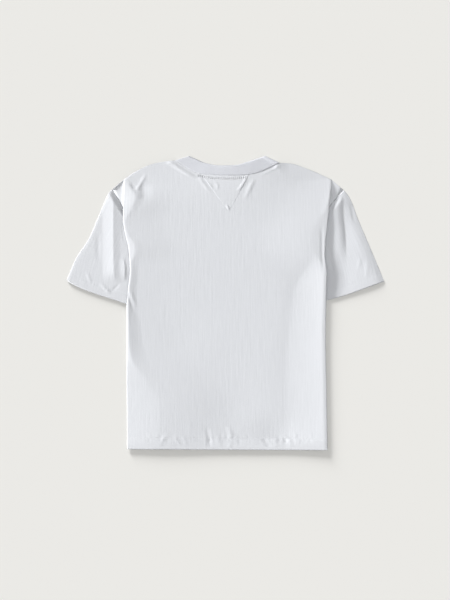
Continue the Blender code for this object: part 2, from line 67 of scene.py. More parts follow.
class Loop(Enum):
    """Which way a grid of points closes on itself."""

    OPEN = "open"
    ROWS = "rows"
    COLUMNS = "columns"


class Flank(Enum):
    """How a crease falls away on one side."""

    SOFT = "soft"        # round at its top and at its foot
    PEAKED = "peaked"    # sharp at its top, soft at its foot
    ARCHED = "arched"    # round at its top, sharp at its foot


# --- Colour, nodes and curves ---


def linear(hex_colour: str) -> tuple[float, float, float, float]:
    """Turn an sRGB hex colour to linear.

    Args:
        hex_colour: the colour, such as "#F0EFEC".

    Returns:
        Linear red, green, blue and an alpha of 1.
    """
    parts = [int(hex_colour[i:i + 2], 16) / 255 for i in (1, 3, 5)]
    return (*(p / 12.92 if p <= 0.04045 else ((p + 0.055) / 1.055) ** 2.4 for p in parts), 1.0)


def add_node(
        tree: bpy.types.NodeTree, kind: str, inputs: dict[Any, Any], **settings: Any) -> bpy.types.Node:
    """Add a node with its settings, values and links.

    Args:
        tree: the node tree it goes into.
        kind: the node's type.
        inputs: socket name or number to a value, or to the output socket that feeds it.
        settings: the node's own settings.

    Returns:
        The new node.
    """
    node = tree.nodes.new(kind)
    for name, value in settings.items():
        setattr(node, name, value)
    feed(tree, node, inputs)
    return node


def feed(tree: bpy.types.NodeTree, node: bpy.types.Node, inputs: dict[Any, Any]) -> None:
    """Fill a node's sockets.

    Args:
        tree: the node tree that the node is in.
        node: the node.
        inputs: socket name or number to a value, or to the output socket that feeds it.
    """
    for socket, value in inputs.items():
        if isinstance(value, Socket):
            tree.links.new(value, node.inputs[socket])
        else:
            node.inputs[socket].default_value = value


def placed(name: str, data: Any) -> bpy.types.Object:
    """Put something into the scene.

    Args:
        name: the object's name.
        data: its mesh, curve, light or camera.

    Returns:
        The new object.
    """
    thing = bpy.data.objects.new(name, data)
    bpy.context.scene.collection.objects.link(thing)
    return thing


def ease(t: Array) -> Array:
    """Go softly from 0 to 1 as t does."""
    t = np.clip(t, 0.0, 1.0)
    return t * t * (3 - 2 * t)


def roll(t: Array) -> Array:
    """Rise from 0 to 1 as the quarter of a circle does."""
    return np.sqrt(1 - (1 - np.clip(t, 0.0, 1.0)) ** 2)


def smooth(knots: Sequence[float], values: Array, at: Array) -> Array:
    """Read a smooth curve through values at rising knots; it never swings past its own points.

    Args:
        knots: where each value holds, in rising order.
        values: one row of numbers for each knot.
        at: where to read the curve.

    Returns:
        The values at those places, with one more axis than at.
    """
    knots, values, at = np.asarray(knots, float), np.asarray(values, float), np.asarray(at, float)
    values = values.reshape(len(knots), -1)
    span = np.diff(knots)[:, None]
    rise = np.diff(values, axis=0) / span
    slope = np.concatenate([rise[:1], np.zeros_like(rise[1:]), rise[-1:]])
    product = rise[1:] * rise[:-1]
    total = np.where(product > 0, rise[1:] + rise[:-1], 1.0)
    slope[1:-1] = np.where(product > 0, 2 * product / total, 0.0)
    flat = np.clip(at.ravel(), knots[0], knots[-1])
    k = np.clip(np.searchsorted(knots, flat, side="right") - 1, 0, len(knots) - 2)
    t = ((flat - knots[k]) / span[k, 0])[:, None]
    start, end = values[k], values[k + 1]
    lift_start, lift_end = slope[k] * span[k], slope[k + 1] * span[k]
    curve = (
        (2 * t ** 3 - 3 * t ** 2 + 1) * start + (t ** 3 - 2 * t ** 2 + t) * lift_start
        + (3 * t ** 2 - 2 * t ** 3) * end + (t ** 3 - t ** 2) * lift_end
    )
    return curve.reshape(at.shape + (values.shape[1],))


def lengths(points: Array, axis: int = 0) -> Array:
    """Give how far each point is along its line of points, counted from the line's first."""
    steps = np.linalg.norm(np.diff(points, axis=axis), axis=-1)
    return np.concatenate([np.zeros_like(steps.take([0], axis)), np.cumsum(steps, axis)], axis)


def along(points: Sequence[Sequence[float]], share: Array) -> Array:
    """Read a line through points, rounded at its corners, at shares of its length from 0 to 1."""
    knots = lengths(points)
    return smooth(knots / knots[-1], points, share)


def through(guides: Sequence[Array], counts: Sequence[int]) -> list[Array]:
    """Draw a soft curve by its guide points: it starts at the first, ends at the last and nears the others.

    Args:
        guides: the guide points, each of which may be a row of points for as many curves.
        counts: steps from each guide to the next, one number less than there are guides, less one.

    Returns:
        The curve's points after its start.
    """
    starts = [guides[0]] + [(a + b) / 2 for a, b in zip(guides[1:-2], guides[2:-1])]
    ends = starts[1:] + [guides[-1]]
    points = []
    for start, pull, end, count in zip(starts, guides[1:-1], ends, counts):
        for t in np.arange(1, count + 1) / count:
            points.append((1 - t) ** 2 * start + 2 * t * (1 - t) * pull + t * t * end)
    return points


# --- Relief: what the cloth does on top of its own form ---


@dataclass(frozen=True)
class Crease:
    """A soft ridge along a line, or a trough where its height is below zero.

    Args:
        path: points (x, y) that the crease runs through.
        height: of the crease's middle over the cloth beside it.
        left: width of the flank on the left hand of its direction.
        right: width of the flank on the right hand.
        fade: shares of its length over which it begins and ends.
        shape: how the left and the right flank fall.
        feet: shares of the height that stay beyond the left and the right flank.
        samples: points of its line.
        foot_reach: how far beyond a flank the height that stays is kept.
    """

    path: tuple[Point, ...]
    height: float
    left: float
    right: float
    fade: Point = (0.3, 0.3)
    shape: tuple[Flank, Flank] = (Flank.SOFT, Flank.SOFT)
    feet: Point = (0.0, 0.0)
    samples: int = 32
    foot_reach: float = 90.0

    def fall(self, t: Array, on_left: Array) -> Array:
        """Give the share of the height at t, 0 on the crease's line and 1 at the foot of a flank."""
        t = np.clip(t, 0.0, 1.0)
        shapes = {Flank.SOFT: 1 - ease(t), Flank.PEAKED: (1 - t) ** PEAK_POWER, Flank.ARCHED: 1 - t ** 2}
        left, right = (foot + (1 - foot) * shapes[shape] for shape, foot in zip(self.shape, self.feet))
        return np.where(on_left, left, right)

    def at(self, x: Array, y: Array) -> Array:
        """Give the crease's height at places on the cloth.

        Args:
            x: across the garment.
            y: along it.

        Returns:
            The height there, 0 beyond the crease.
        """
        share = np.linspace(0, 1, self.samples)
        line = along(self.path, share)
        margin = max(self.left, self.right, self.foot_reach * (max(self.feet) > 0))
        low, high = line.min(0) - margin, line.max(0) + margin
        near = (x > low[0]) & (x < high[0]) & (y > low[1]) & (y < high[1])
        height = np.zeros(np.shape(x))
        if not near.any():
            return height
        place = np.column_stack([x[near], y[near]])
        step = np.diff(line, axis=0)
        square = (step ** 2).sum(1)
        offset = place[:, None] - line[None, :-1]
        inside = np.clip((offset * step).sum(2) / square, 0, 1)
        gap = offset - inside[..., None] * step
        distance = np.linalg.norm(gap, axis=2)
        nearest = distance.argmin(1)
        pick = np.arange(len(nearest)), nearest
        gap, tangent = gap[pick], step[nearest]
        on_left = tangent[:, 0] * gap[:, 1] - tangent[:, 1] * gap[:, 0] > 0
        flank = np.where(on_left, self.left, self.right)
        t = (nearest + inside[pick]) / len(step)
        first, last = self.fade
        faded = ease(t / max(first, 1e-6)) * ease((1 - t) / max(last, 1e-6))
        height[near] = self.height * faded * self.fall(distance[pick] / flank, on_left)
        return height


@dataclass(frozen=True)
class Swell:
    """A broad low rise of the cloth, or a hollow where its height is below zero.

    Args:
        x: its middle, across the garment.
        y: its middle, along it.
        across: half its width.
        lengthways: half its length.
        height: of its middle.
        turn: how far its length is turned, in degrees.
    """

    x: float
    y: float
    across: float
    lengthways: float
    height: float
    turn: float = 0.0

    def at(self, x: Array, y: Array) -> Array:
        """Give the swell's height at places (x, y) on the cloth."""
        angle = np.radians(self.turn)
        u = (x - self.x) * np.cos(angle) + (y - self.y) * np.sin(angle)
        v = (y - self.y) * np.cos(angle) - (x - self.x) * np.sin(angle)
        return self.height * np.exp(-(u / self.across) ** 2 - (v / self.lengthways) ** 2)


@dataclass(frozen=True)
class Gathers:
    """Uneven small creases that start from a line of stitches and run away from it.

    Args:
        path: the line of stitches.
        count: how many creases there are.
        height: of the largest.
        reach: least and greatest length.
        width: least and greatest width of a flank.
        lean: how far a crease may turn from square to the line, in degrees.
        crowd: shares of the line where the creases crowd, or none for all along it.
        seed: of their random sizes.
        crowding: how closely they keep to where they crowd, as a share of the line.
        trough: height of the troughs among them, as a share of a ridge's.
        least: height of the lowest, as a share of the largest.
    """

    path: tuple[Point, ...]
    count: int
    height: float
    reach: Point
    width: Point
    lean: float
    crowd: tuple[float, ...]
    seed: int
    crowding: float = 0.05
    trough: float = -0.6
    least: float = 0.35

    def creases(self) -> list[Crease]:
        """Draw the creases by lot.

        Returns:
            The creases, in the order that they were drawn.
        """
        draw = np.random.default_rng(self.seed)
        made = []
        for _ in range(self.count):
            share = draw.uniform(0.02, 0.98)
            if self.crowd:
                share = float(np.clip(draw.choice(self.crowd) + draw.normal(0, self.crowding), 0.01, 0.99))
            start = along(self.path, np.array([share, min(share + 0.01, 1.0), max(share - 0.01, 0.0)]))
            tangent = start[1] - start[2]
            angle = np.arctan2(tangent[0], -tangent[1]) + np.radians(draw.uniform(-self.lean, self.lean))
            length = draw.uniform(*self.reach)
            way = np.array([np.cos(angle), np.sin(angle)]) * length
            sign = draw.choice((self.trough, 1.0))
            made.append(Crease(
                path=(tuple(start[0]), tuple(start[0] + way)),
                height=sign * self.height * draw.uniform(self.least, 1.0),
                left=draw.uniform(*self.width), right=draw.uniform(*self.width),
                fade=(0.25, 0.6), samples=4))
        return made


def relief(marks: Sequence[Any], x: Array, y: Array) -> Array:
    """Add up what creases, swells and gathers do at places on the cloth.

    Args:
        marks: the creases, swells and gathers.
        x: across the garment.
        y: along it.

    Returns:
        The height of the relief there.
    """
    total = np.zeros(np.shape(x))
    for mark in marks:
        parts = mark.creases() if isinstance(mark, Gathers) else [mark]
        for part in parts:
            total = total + part.at(x, y)
    return total


# --- Finishes ---


class Shading:
    """A material while it is being made, with the steps that the finishes share."""

    def __init__(self, name: str) -> None:
        """Start the material of that name."""
        self.material = bpy.data.materials.new(name)
        self.material.use_nodes = True
        self.tree = self.material.node_tree

    def add(self, kind: str, inputs: dict[str, Any], **settings: Any) -> bpy.types.Node:
        """Add a node to the material."""
        return add_node(self.tree, kind, inputs, **settings)

    def grain(self) -> Socket:
        """Read the cloth's own coordinates, in millimetres."""
        return self.add("ShaderNodeUVMap", {}, uv_map=GRAIN_MAP).outputs["UV"]

    def place(self) -> Socket:
        """Read the place on the piece, in metres."""
        return self.add("ShaderNodeTexCoord", {}).outputs["Object"]

    def bands(self, place: Socket, spacing: float, wobble: dict[str, float], across: str = "X") -> Socket:
        """Draw bands that lie a spacing apart, in the unit of the place."""
        inputs = {"Vector": place, "Scale": np.pi / (10 * spacing), **wobble}
        return self.add("ShaderNodeTexWave", inputs, bands_direction=across).outputs["Fac"]

    def blend(self, share: Socket, first: str, second: str) -> Socket:
        """Mix two hex colours."""
        inputs = {"Factor": share, "A": linear(first), "B": linear(second)}
        return self.add("ShaderNodeMix", inputs, data_type="RGBA").outputs["Result"]

    def bump(self, height: Socket, depth: float, **under: Socket) -> Socket:
        """Turn a height into relief of a depth in millimetres, on top of a Normal if there is one."""
        inputs = {"Height": height, "Strength": 1.0, "Distance": depth * MM, **under}
        return self.add("ShaderNodeBump", inputs).outputs["Normal"]

    def finished(self, inputs: dict[str, Any]) -> bpy.types.Material:
        """Feed the main shader and hand the material over."""
        feed(self.tree, self.tree.nodes["Principled BSDF"], inputs)
        return self.material


@dataclass(frozen=True)
class CottonJersey:
    """Bleached combed cotton, a single jersey: matt, a little cool, faintly streaked along its wales."""

    slot: str = "white_jersey"
    colour: str = "#E0E2E6"
    streak_colour: str = "#D9DBDF"
    streak_width: float = 4.2    # of slubs in the yarn; the wales are 0.7 mm and too fine to show
    streak_length: float = 60.0
    streak_depth: float = 0.26
    wale: float = 2.2            # drawn three times as coarse as the real wales, to show at all
    wale_depth: float = 0.012
    roughness: float = 0.9
    fuzz: float = 0.12

    def material(self) -> bpy.types.Material:
        """Make the jersey's material.

        Returns:
            The material.
        """
        shading = Shading(self.slot)
        grain = shading.grain()
        scale = (1 / self.streak_width, 1 / self.streak_length, 1.0)
        stretched = shading.add("ShaderNodeMapping", {"Vector": grain, "Scale": scale}).outputs["Vector"]
        spots = {"Vector": stretched, "Scale": 1.0, "Detail": 3.0, "Roughness": 0.6}
        slubs = shading.add("ShaderNodeTexNoise", spots).outputs["Fac"]
        colour = shading.blend(slubs, self.colour, self.streak_colour)
        wales = shading.bands(grain, self.wale, {"Distortion": 1.2, "Detail": 2.0, "Detail Scale": 0.3})
        streaks = shading.bump(slubs, self.streak_depth, Normal=shading.bump(wales, self.wale_depth))
        return shading.finished({
            "Base Color": colour, "Normal": streaks,
            "Roughness": self.roughness, "Sheen Weight": self.fuzz})


@dataclass(frozen=True)
class CottonRib:
    """Bleached cotton 1x1 rib of the neckband: upright ribs, a touch greyer than the jersey."""

    slot: str = "white_rib"
    colour: str = "#DADCE2"
    # painted shade: the grooves between the ribs are coloured darker than the ribs
    groove_shade_colour: str = "#D2D4DA"
    rib: float = 2.6             # two wales of the real rib, drawn as one to show at all
    rib_depth: float = 0.10
    roughness: float = 0.92
    fuzz: float = 0.12

    def material(self) -> bpy.types.Material:
        """Make the rib's material.

        Returns:
            The material.
        """
        shading = Shading(self.slot)
        wobble = {"Distortion": 0.5, "Detail": 1.0, "Detail Scale": 0.2}
        ribs = shading.bands(shading.grain(), self.rib, wobble)
        return shading.finished({
            # the ribs' grooves get the darker colour, which is painted shade in the recesses
            "Base Color": shading.blend(ribs, self.groove_shade_colour, self.colour),
            "Normal": shading.bump(ribs, self.rib_depth),
            "Roughness": self.roughness, "Sheen Weight": self.fuzz})


@dataclass(frozen=True)
class SewingThread:
    """Spun polyester sewing thread: white, twisted, with a slight shine."""

    slot: str = "white_jersey"
    # whiter than the jersey: partly the thread's own white, partly painted highlight standing in for lit
    # stitch tops where the stitches lie flush
    colour: str = "#E9EAEE"
    twist: float = 0.9           # from ply to ply, about as in real thread
    twist_depth: float = 0.05
    roughness: float = 0.55

    def material(self) -> bpy.types.Material:
        """Make the thread's material.

        Returns:
            The material.
        """
        shading = Shading("sewing_thread")
        plies = shading.bands(shading.place(), self.twist * MM, {}, "DIAGONAL")
        return shading.finished({
            "Base Color": linear(self.colour), "Normal": shading.bump(plies, self.twist_depth),
            "Roughness": self.roughness})


@dataclass(frozen=True)
class PaintedBoard:
    """Warm off-white emulsion on a smooth board: matt, with the faintest roller texture."""

    colour: str = "#F1F0EC"
    grain: float = 1.5           # of the roller's texture
    grain_depth: float = 0.01
    roughness: float = 0.95

    def material(self) -> bpy.types.Material:
        """Make the board's material.

        Returns:
            The material.
        """
        shading = Shading("painted_board")
        spots = {"Vector": shading.place(), "Scale": 1 / (self.grain * MM), "Detail": 2.0}
        roller = shading.add("ShaderNodeTexNoise", spots).outputs["Fac"]
        return shading.finished({
            "Base Color": linear(self.colour), "Normal": shading.bump(roller, self.grain_depth),
            "Roughness": self.roughness})


# --- From grids of points to pieces ---


def unrolled(points: Array, middle: int) -> Array:
    """Lay a grid of points out flat, by its lengths from a middle column and from its first row.

    Args:
        points: rows by columns by 3, in millimetres.
        middle: the column that is at 0 across.

    Returns:
        Rows by columns by 2: across and along, in millimetres.
    """
    across, down = lengths(points, 1), lengths(points, 0)
    return np.stack([across - across[:, middle:middle + 1], down], axis=-1)


def cloth_mesh(name: str, points: Array, grain: Array, loop: Loop) -> bpy.types.Mesh:
    """Make a mesh from a grid of points, with the cloth's own coordinates on it.

    Args:
        name: the mesh's name.
        points: rows by columns by 3, in millimetres.
        grain: rows by columns by 2, the cloth's own coordinates in millimetres.
        loop: which way the grid closes on itself.

    Returns:
        The mesh, in metres.
    """
    rows, columns = points.shape[:2]
    i = np.arange(rows if loop is Loop.ROWS else rows - 1)[:, None]
    j = np.arange(columns if loop is Loop.COLUMNS else columns - 1)[None, :]
    below, beside = (i + 1) % rows, (j + 1) % columns
    corners = [i * columns + j, below * columns + j, below * columns + beside, i * columns + beside]
    faces = np.stack([np.broadcast_to(c, (i.size, j.size)).ravel() for c in corners], axis=1)
    mesh = bpy.data.meshes.new(name)
    mesh.from_pydata((points.reshape(-1, 3) * MM).tolist(), [], faces.tolist())
    layer = mesh.uv_layers.new(name=GRAIN_MAP)
    layer.data.foreach_set("uv", grain.reshape(-1, 2)[faces.ravel()].astype(np.float32).ravel())
    mesh.shade_smooth()
    return mesh


@dataclass
class Garment:
    """What every piece of the garment shares: the body that it rides on and its finishes."""

    jersey: bpy.types.Material
    rib: bpy.types.Material
    thread: bpy.types.Material

    def add(self, mesh: bpy.types.Mesh, material: bpy.types.Material, slot: str,
            replaced: str | None = None) -> bpy.types.Object:
        """Add a piece and let it ride on the garment.

        Args:
            mesh: the piece's mesh; the piece gets its name.
            material: the piece's finish.
            slot: not used.
            replaced: the solid that the piece stands for, if any.

        Returns:
            The piece.
        """
        piece = placed(mesh.name, mesh)
        mesh.materials.append(material)
        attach(piece, ROOT_BODY)
        if replaced:
            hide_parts(replaced)
        LOG.info("%s: %d points", piece.name, len(mesh.vertices))
        return piece


class SewnPiece:
    """A piece cut from one sheet. Each kind has a name and a wall, and gives the grid of its surface."""

    name: str
    wall: float
    ending: ClassVar[str] = "_cloth"
    loop: ClassVar[Loop] = Loop.OPEN

    def grid(self) -> Array:
        """Build the surface as rows by columns by 3, in millimetres."""
        raise NotImplementedError

    def grain(self, points: Array) -> Array:
        """Lay the surface out flat from its middle column."""
        return unrolled(points, points.shape[1] // 2)

    def finish(self, garment: Garment) -> tuple[bpy.types.Material, str]:
        """Choose the finish and the name of its slot."""
        return garment.jersey, CottonJersey.slot

    def build(self, garment: Garment) -> bpy.types.Object:
        """Add the piece, with half its wall to each side of its surface.

        Args:
            garment: what it belongs to.

        Returns:
            The piece.
        """
        points = self.grid()
        mesh = cloth_mesh(self.name + self.ending, points, self.grain(points), self.loop)
        piece = garment.add(mesh, *self.finish(garment), self.name)
        cloth = piece.modifiers.new("cloth", "SOLIDIFY")
        cloth.offset = 0.0
        cloth.use_even_offset = False
        cloth.thickness = self.wall * MM
        return piece


# --- The body's form ---


class SideRow(NamedTuple):
    """A section across a side fold; x is counted outward from the centre line."""

    y: float        # where the section meets the fold
    fold: float     # x of the fold's edge
    edge: float     # height at the edge
    inset: float    # from the edge to the crest
    crest: float    # height of the crest
    drop: float     # how far the panel falls straight behind the crest
    near: float     # over what width it falls so
    reach: float    # from the crest to where the panel lies flat again
    low: float      # height of the cloth under the fold
    seam_x: float   # where the panel ends
    seam_y: float
    seam_z: float


HEM_LEFT = -320.7
HEM_RIGHT = -322.9
NECK_HALF = 113.3
NECK_LEFT_Y = 314.0
NECK_RIGHT_Y = 308.6
FRONT_NECK_DROP = 197.0

BACK_LEFT = (
    SideRow(271.6, 227.7, 5.4, 5, 5.7, 0.2, 14, 110, 2.4, 253, 250.3, 2.4),
    SideRow(252, 227.4, 6, 15, 7.4, 1.6, 26, 100, 2.4, 246.5, 239.5, 2.2),
    SideRow(234, 228.2, 6.2, 27, 9, 1.4, 20, 90, 2.6, 239, 228.5, 2.2),
    SideRow(220, 228.8, 6.8, 24, 9.3, 0.9, 18, 90, 3.4, 232.8, 217.5, 2.2),
    SideRow(212, 229.1, 7.2, 20, 9.3, 0.6, 16, 90, 4.2, 228.7, 210.5, 2.8),
    SideRow(203, 229.3, 7.5, 17, 9.2, 0.4, 14, 90, 3.2, 223, 201, 2.7),
    SideRow(190, 229.4, 7.6, 8, 8.5, 0.2, 14, 90, 2.7, 219.4, 190, 2.7),
    SideRow(174, 228.2, 7.6, 4, 8.1, 0.1, 14, 90, 2.7, 216, 174, 2.7),
    SideRow(148, 223.7, 7.6, 7, 8.4, 0.2, 14, 90, 2.7, 210.7, 148, 2.7),
    SideRow(132, 219.7, 7.5, 16, 9.1, 0.4, 16, 90, 2.7, 207.3, 132, 2.7),
    SideRow(117, 217, 7.5, 16, 9.1, 0.4, 16, 90, 2.7, 203.5, 116, 2.7),
    SideRow(104, 215.8, 7.5, 12, 8.7, 0.4, 14, 90, 2.7, 191, 103, 2.7),
    SideRow(92, 215, 7.5, 4, 8.2, 0.6, 14, 90, 2.7, 193.5, 92, 2.7),
    SideRow(73, 214.5, 7.4, 4, 8.1, 1, 14, 90, 2.7, 197, 73, 2.7),
    SideRow(29, 218.6, 7.2, 4, 7.9, 1.5, 17, 90, 2.7, 200, 29, 2.7),
    SideRow(-16, 222, 6.9, 4, 7.7, 1.8, 20, 90, 2.7, 202, -16, 2.7),
    SideRow(-50, 221.9, 6.5, 5, 7.5, 2, 26, 90, 1.6, 202.5, -50, 1.6),
    SideRow(-85, 221.8, 6.1, 6, 7.2, 2, 30, 100, 0.6, 203, -85, 0.6),
    SideRow(-118, 221.6, 5.2, 10, 6.6, 1.2, 34, 120, 0.6, 203, -118, 0.6),
    SideRow(-150, 221.5, 4.4, 30, 6.2, 0.2, 34, 150, 0.6, 203, -150, 0.6),
    SideRow(-230, 221, 3.9, 74, 7.3, 0, 30, 170, 0.6, 203, -230, 0.6),
    SideRow(HEM_LEFT, 220.4, 3.9, 66, 7.2, 0, 30, 170, 0.6, 203, HEM_LEFT, 0.6),
)
BACK_RIGHT = (
    SideRow(272, 228.4, 2.2, 3, 2.3, 0, 20, 150, 1.8, 255.2, 249.2, 1.9),
    SideRow(252, 227.2, 5, 3, 5.2, 0, 14, 140, 1.9, 246.5, 239.5, 1.9),
    SideRow(234, 225.3, 7.2, 3, 7.6, 0.3, 14, 110, 2.4, 236.5, 227.5, 1.9),
    SideRow(220, 223.9, 8, 4, 8.5, 0.5, 14, 120, 3.4, 227.8, 217.5, 1.9),
    SideRow(212, 223.2, 8.2, 5, 8.7, 0.5, 14, 120, 4.2, 222.8, 210.5, 2.8),
    SideRow(203, 222.4, 8.3, 8, 8.8, 0.4, 14, 120, 3.2, 217, 201, 2.7),
    SideRow(188, 221, 8.3, 20, 9, 0.1, 14, 120, 2.7, 213.5, 187.6, 2.7),
    SideRow(157, 217.8, 8.2, 32, 9.2, 0, 12, 120, 2.7, 208, 156.8, 2.7),
    SideRow(126, 214.5, 8.2, 32, 9.3, 0, 12, 120, 2.7, 204, 126, 2.7),
    SideRow(113, 214, 8.3, 26, 9.2, 0, 12, 120, 2.7, 201, 112, 2.7),
    SideRow(104, 213.8, 8.4, 18, 9.1, 0.2, 12, 120, 2.7, 190, 103, 2.7),
    SideRow(84, 216.2, 8.8, 8, 9.3, 2, 30, 120, 2.7, 193.5, 84, 2.7),
    SideRow(64, 218.2, 9.2, 7, 9.6, 4.2, 48, 120, 2.7, 197, 64, 2.7),
    SideRow(36, 217.4, 9.3, 7, 9.7, 5.6, 62, 110, 2.7, 197.6, 36, 2.7),
    SideRow(9, 216.7, 9.3, 7, 9.7, 6, 68, 100, 2.7, 198, 9, 2.7),
    SideRow(-25, 216.1, 9.2, 7, 9.6, 6.2, 72, 100, 1.6, 199, -25, 1.6),
    SideRow(-63, 215.4, 9, 7, 9.4, 6.2, 76, 110, 0.6, 201, -63, 0.6),
    SideRow(-200, 217.5, 8.7, 7, 9.1, 5.6, 84, 150, 0.6, 201.5, -200, 0.6),
    SideRow(HEM_RIGHT, 219.6, 8.6, 7, 9, 5.4, 84, 150, 0.6, 203, HEM_RIGHT, 0.6),
)
BACK_LOFT = (
    (330.0, 5.2), (290.0, 5.6), (250.0, 6.4), (215.0, 6.9),
    (120.0, 7.0), (40.0, 6.0), (-60.0, 5.0), (-325.0, 4.7),
)
FRONT_LOFT = ((330.0, 0.4), (-330.0, 0.4))
FRONT_TOP = (
    SideRow(271.8, 228, 0.5, 3, 0.5, 0, 20, 45, 0.5, 252, 249.6, 0.5),
    SideRow(252, 226, 0.5, 3, 0.5, 0, 20, 45, 0.5, 245, 239, 0.5),
    SideRow(239, 223.5, 1.1, 3, 1.3, 0, 20, 50, 0.7, 236.5, 230, 0.5),
    SideRow(229, 222.9, 3.2, 3, 3.5, 0, 20, 50, 1.9, 222.5, 228, 1.3),
    SideRow(219, 222.4, 5.2, 3, 5.5, 0, 20, 52, 3.6, 217, 218, 3.6),
)
FRONT_JOINS_BACK_BELOW = 210.0  # y from which the front lies inside the back's folds
FRONT_INSET = 2.4               # from the back's fold to the front's
FRONT_DROP = 1.5                # from the back's wall to the front's
TUCK_LAYER = 1.1                # from the back's tucked cloth to the front's
LEAST_INSET = 0.8               # from the edge of a fold of the front to its crest
LEAST_EDGE = 1.0                # height that its edge keeps over the cloth under it
LEAST_CREST = 1.1               # the same of its crest

LEFT_SHOULDER = (
    (-227.7, 271.6), (-201.5, 289.4), (-163.5, 306.4), (-132.4, 312.1), (-NECK_HALF, NECK_LEFT_Y),
)
BACK_NECK = (
    (-NECK_HALF, NECK_LEFT_Y), (-93.5, 299.5), (-56.8, 284.4), (-20.0, 281.6),
    (20.0, 281.4), (56.1, 284.6), (95.0, 299.0), (NECK_HALF, NECK_RIGHT_Y),
)
RIGHT_SHOULDER = (
    (NECK_HALF, NECK_RIGHT_Y), (135.1, 307.6), (185.5, 291.6), (210.8, 280.4), (228.4, 272.0),
)
BACK_RIM = (
    (-83.6, 323.3), (-71.0, 317.6), (-47.0, 307.8), (-17.0, 302.8),
    (15.0, 303.4), (44.0, 310.8), (68.0, 318.6), (82.5, 323.4),
)


def side_at(rows: Sequence[SideRow], y: Array) -> SideRow:
    """Read a side's table at y, as a row whose values are arrays as long as y."""
    table = np.array(rows)
    return SideRow(*np.moveaxis(smooth(-table[:, 0], table, -np.asarray(y, float)), -1, 0))


def shoulder_line(x: Array) -> Array:
    """Give y of the back panel's top edge at x."""
    parts = (LEFT_SHOULDER, BACK_NECK, RIGHT_SHOULDER)
    left, neck, right = (smooth(*np.transpose(points), x)[..., 0] for points in parts)
    return np.where(x < -NECK_HALF, left, np.where(x > NECK_HALF, right, neck))


def front_top_line(x: Array) -> Array:
    """Give y of the front panel's top edge at x: the shoulders and the deep round front neck.

    Args:
        x: across the garment.

    Returns:
        The edge's y.
    """
    corner = np.interp(x, (-NECK_HALF, NECK_HALF), (NECK_LEFT_Y, NECK_RIGHT_Y))
    bowl = np.sqrt(np.clip(1 - (x / NECK_HALF) ** 2, 0, 1))
    neck = corner - (corner - FRONT_NECK_DROP) * bowl
    return np.where(np.abs(x) < NECK_HALF, neck, shoulder_line(x))


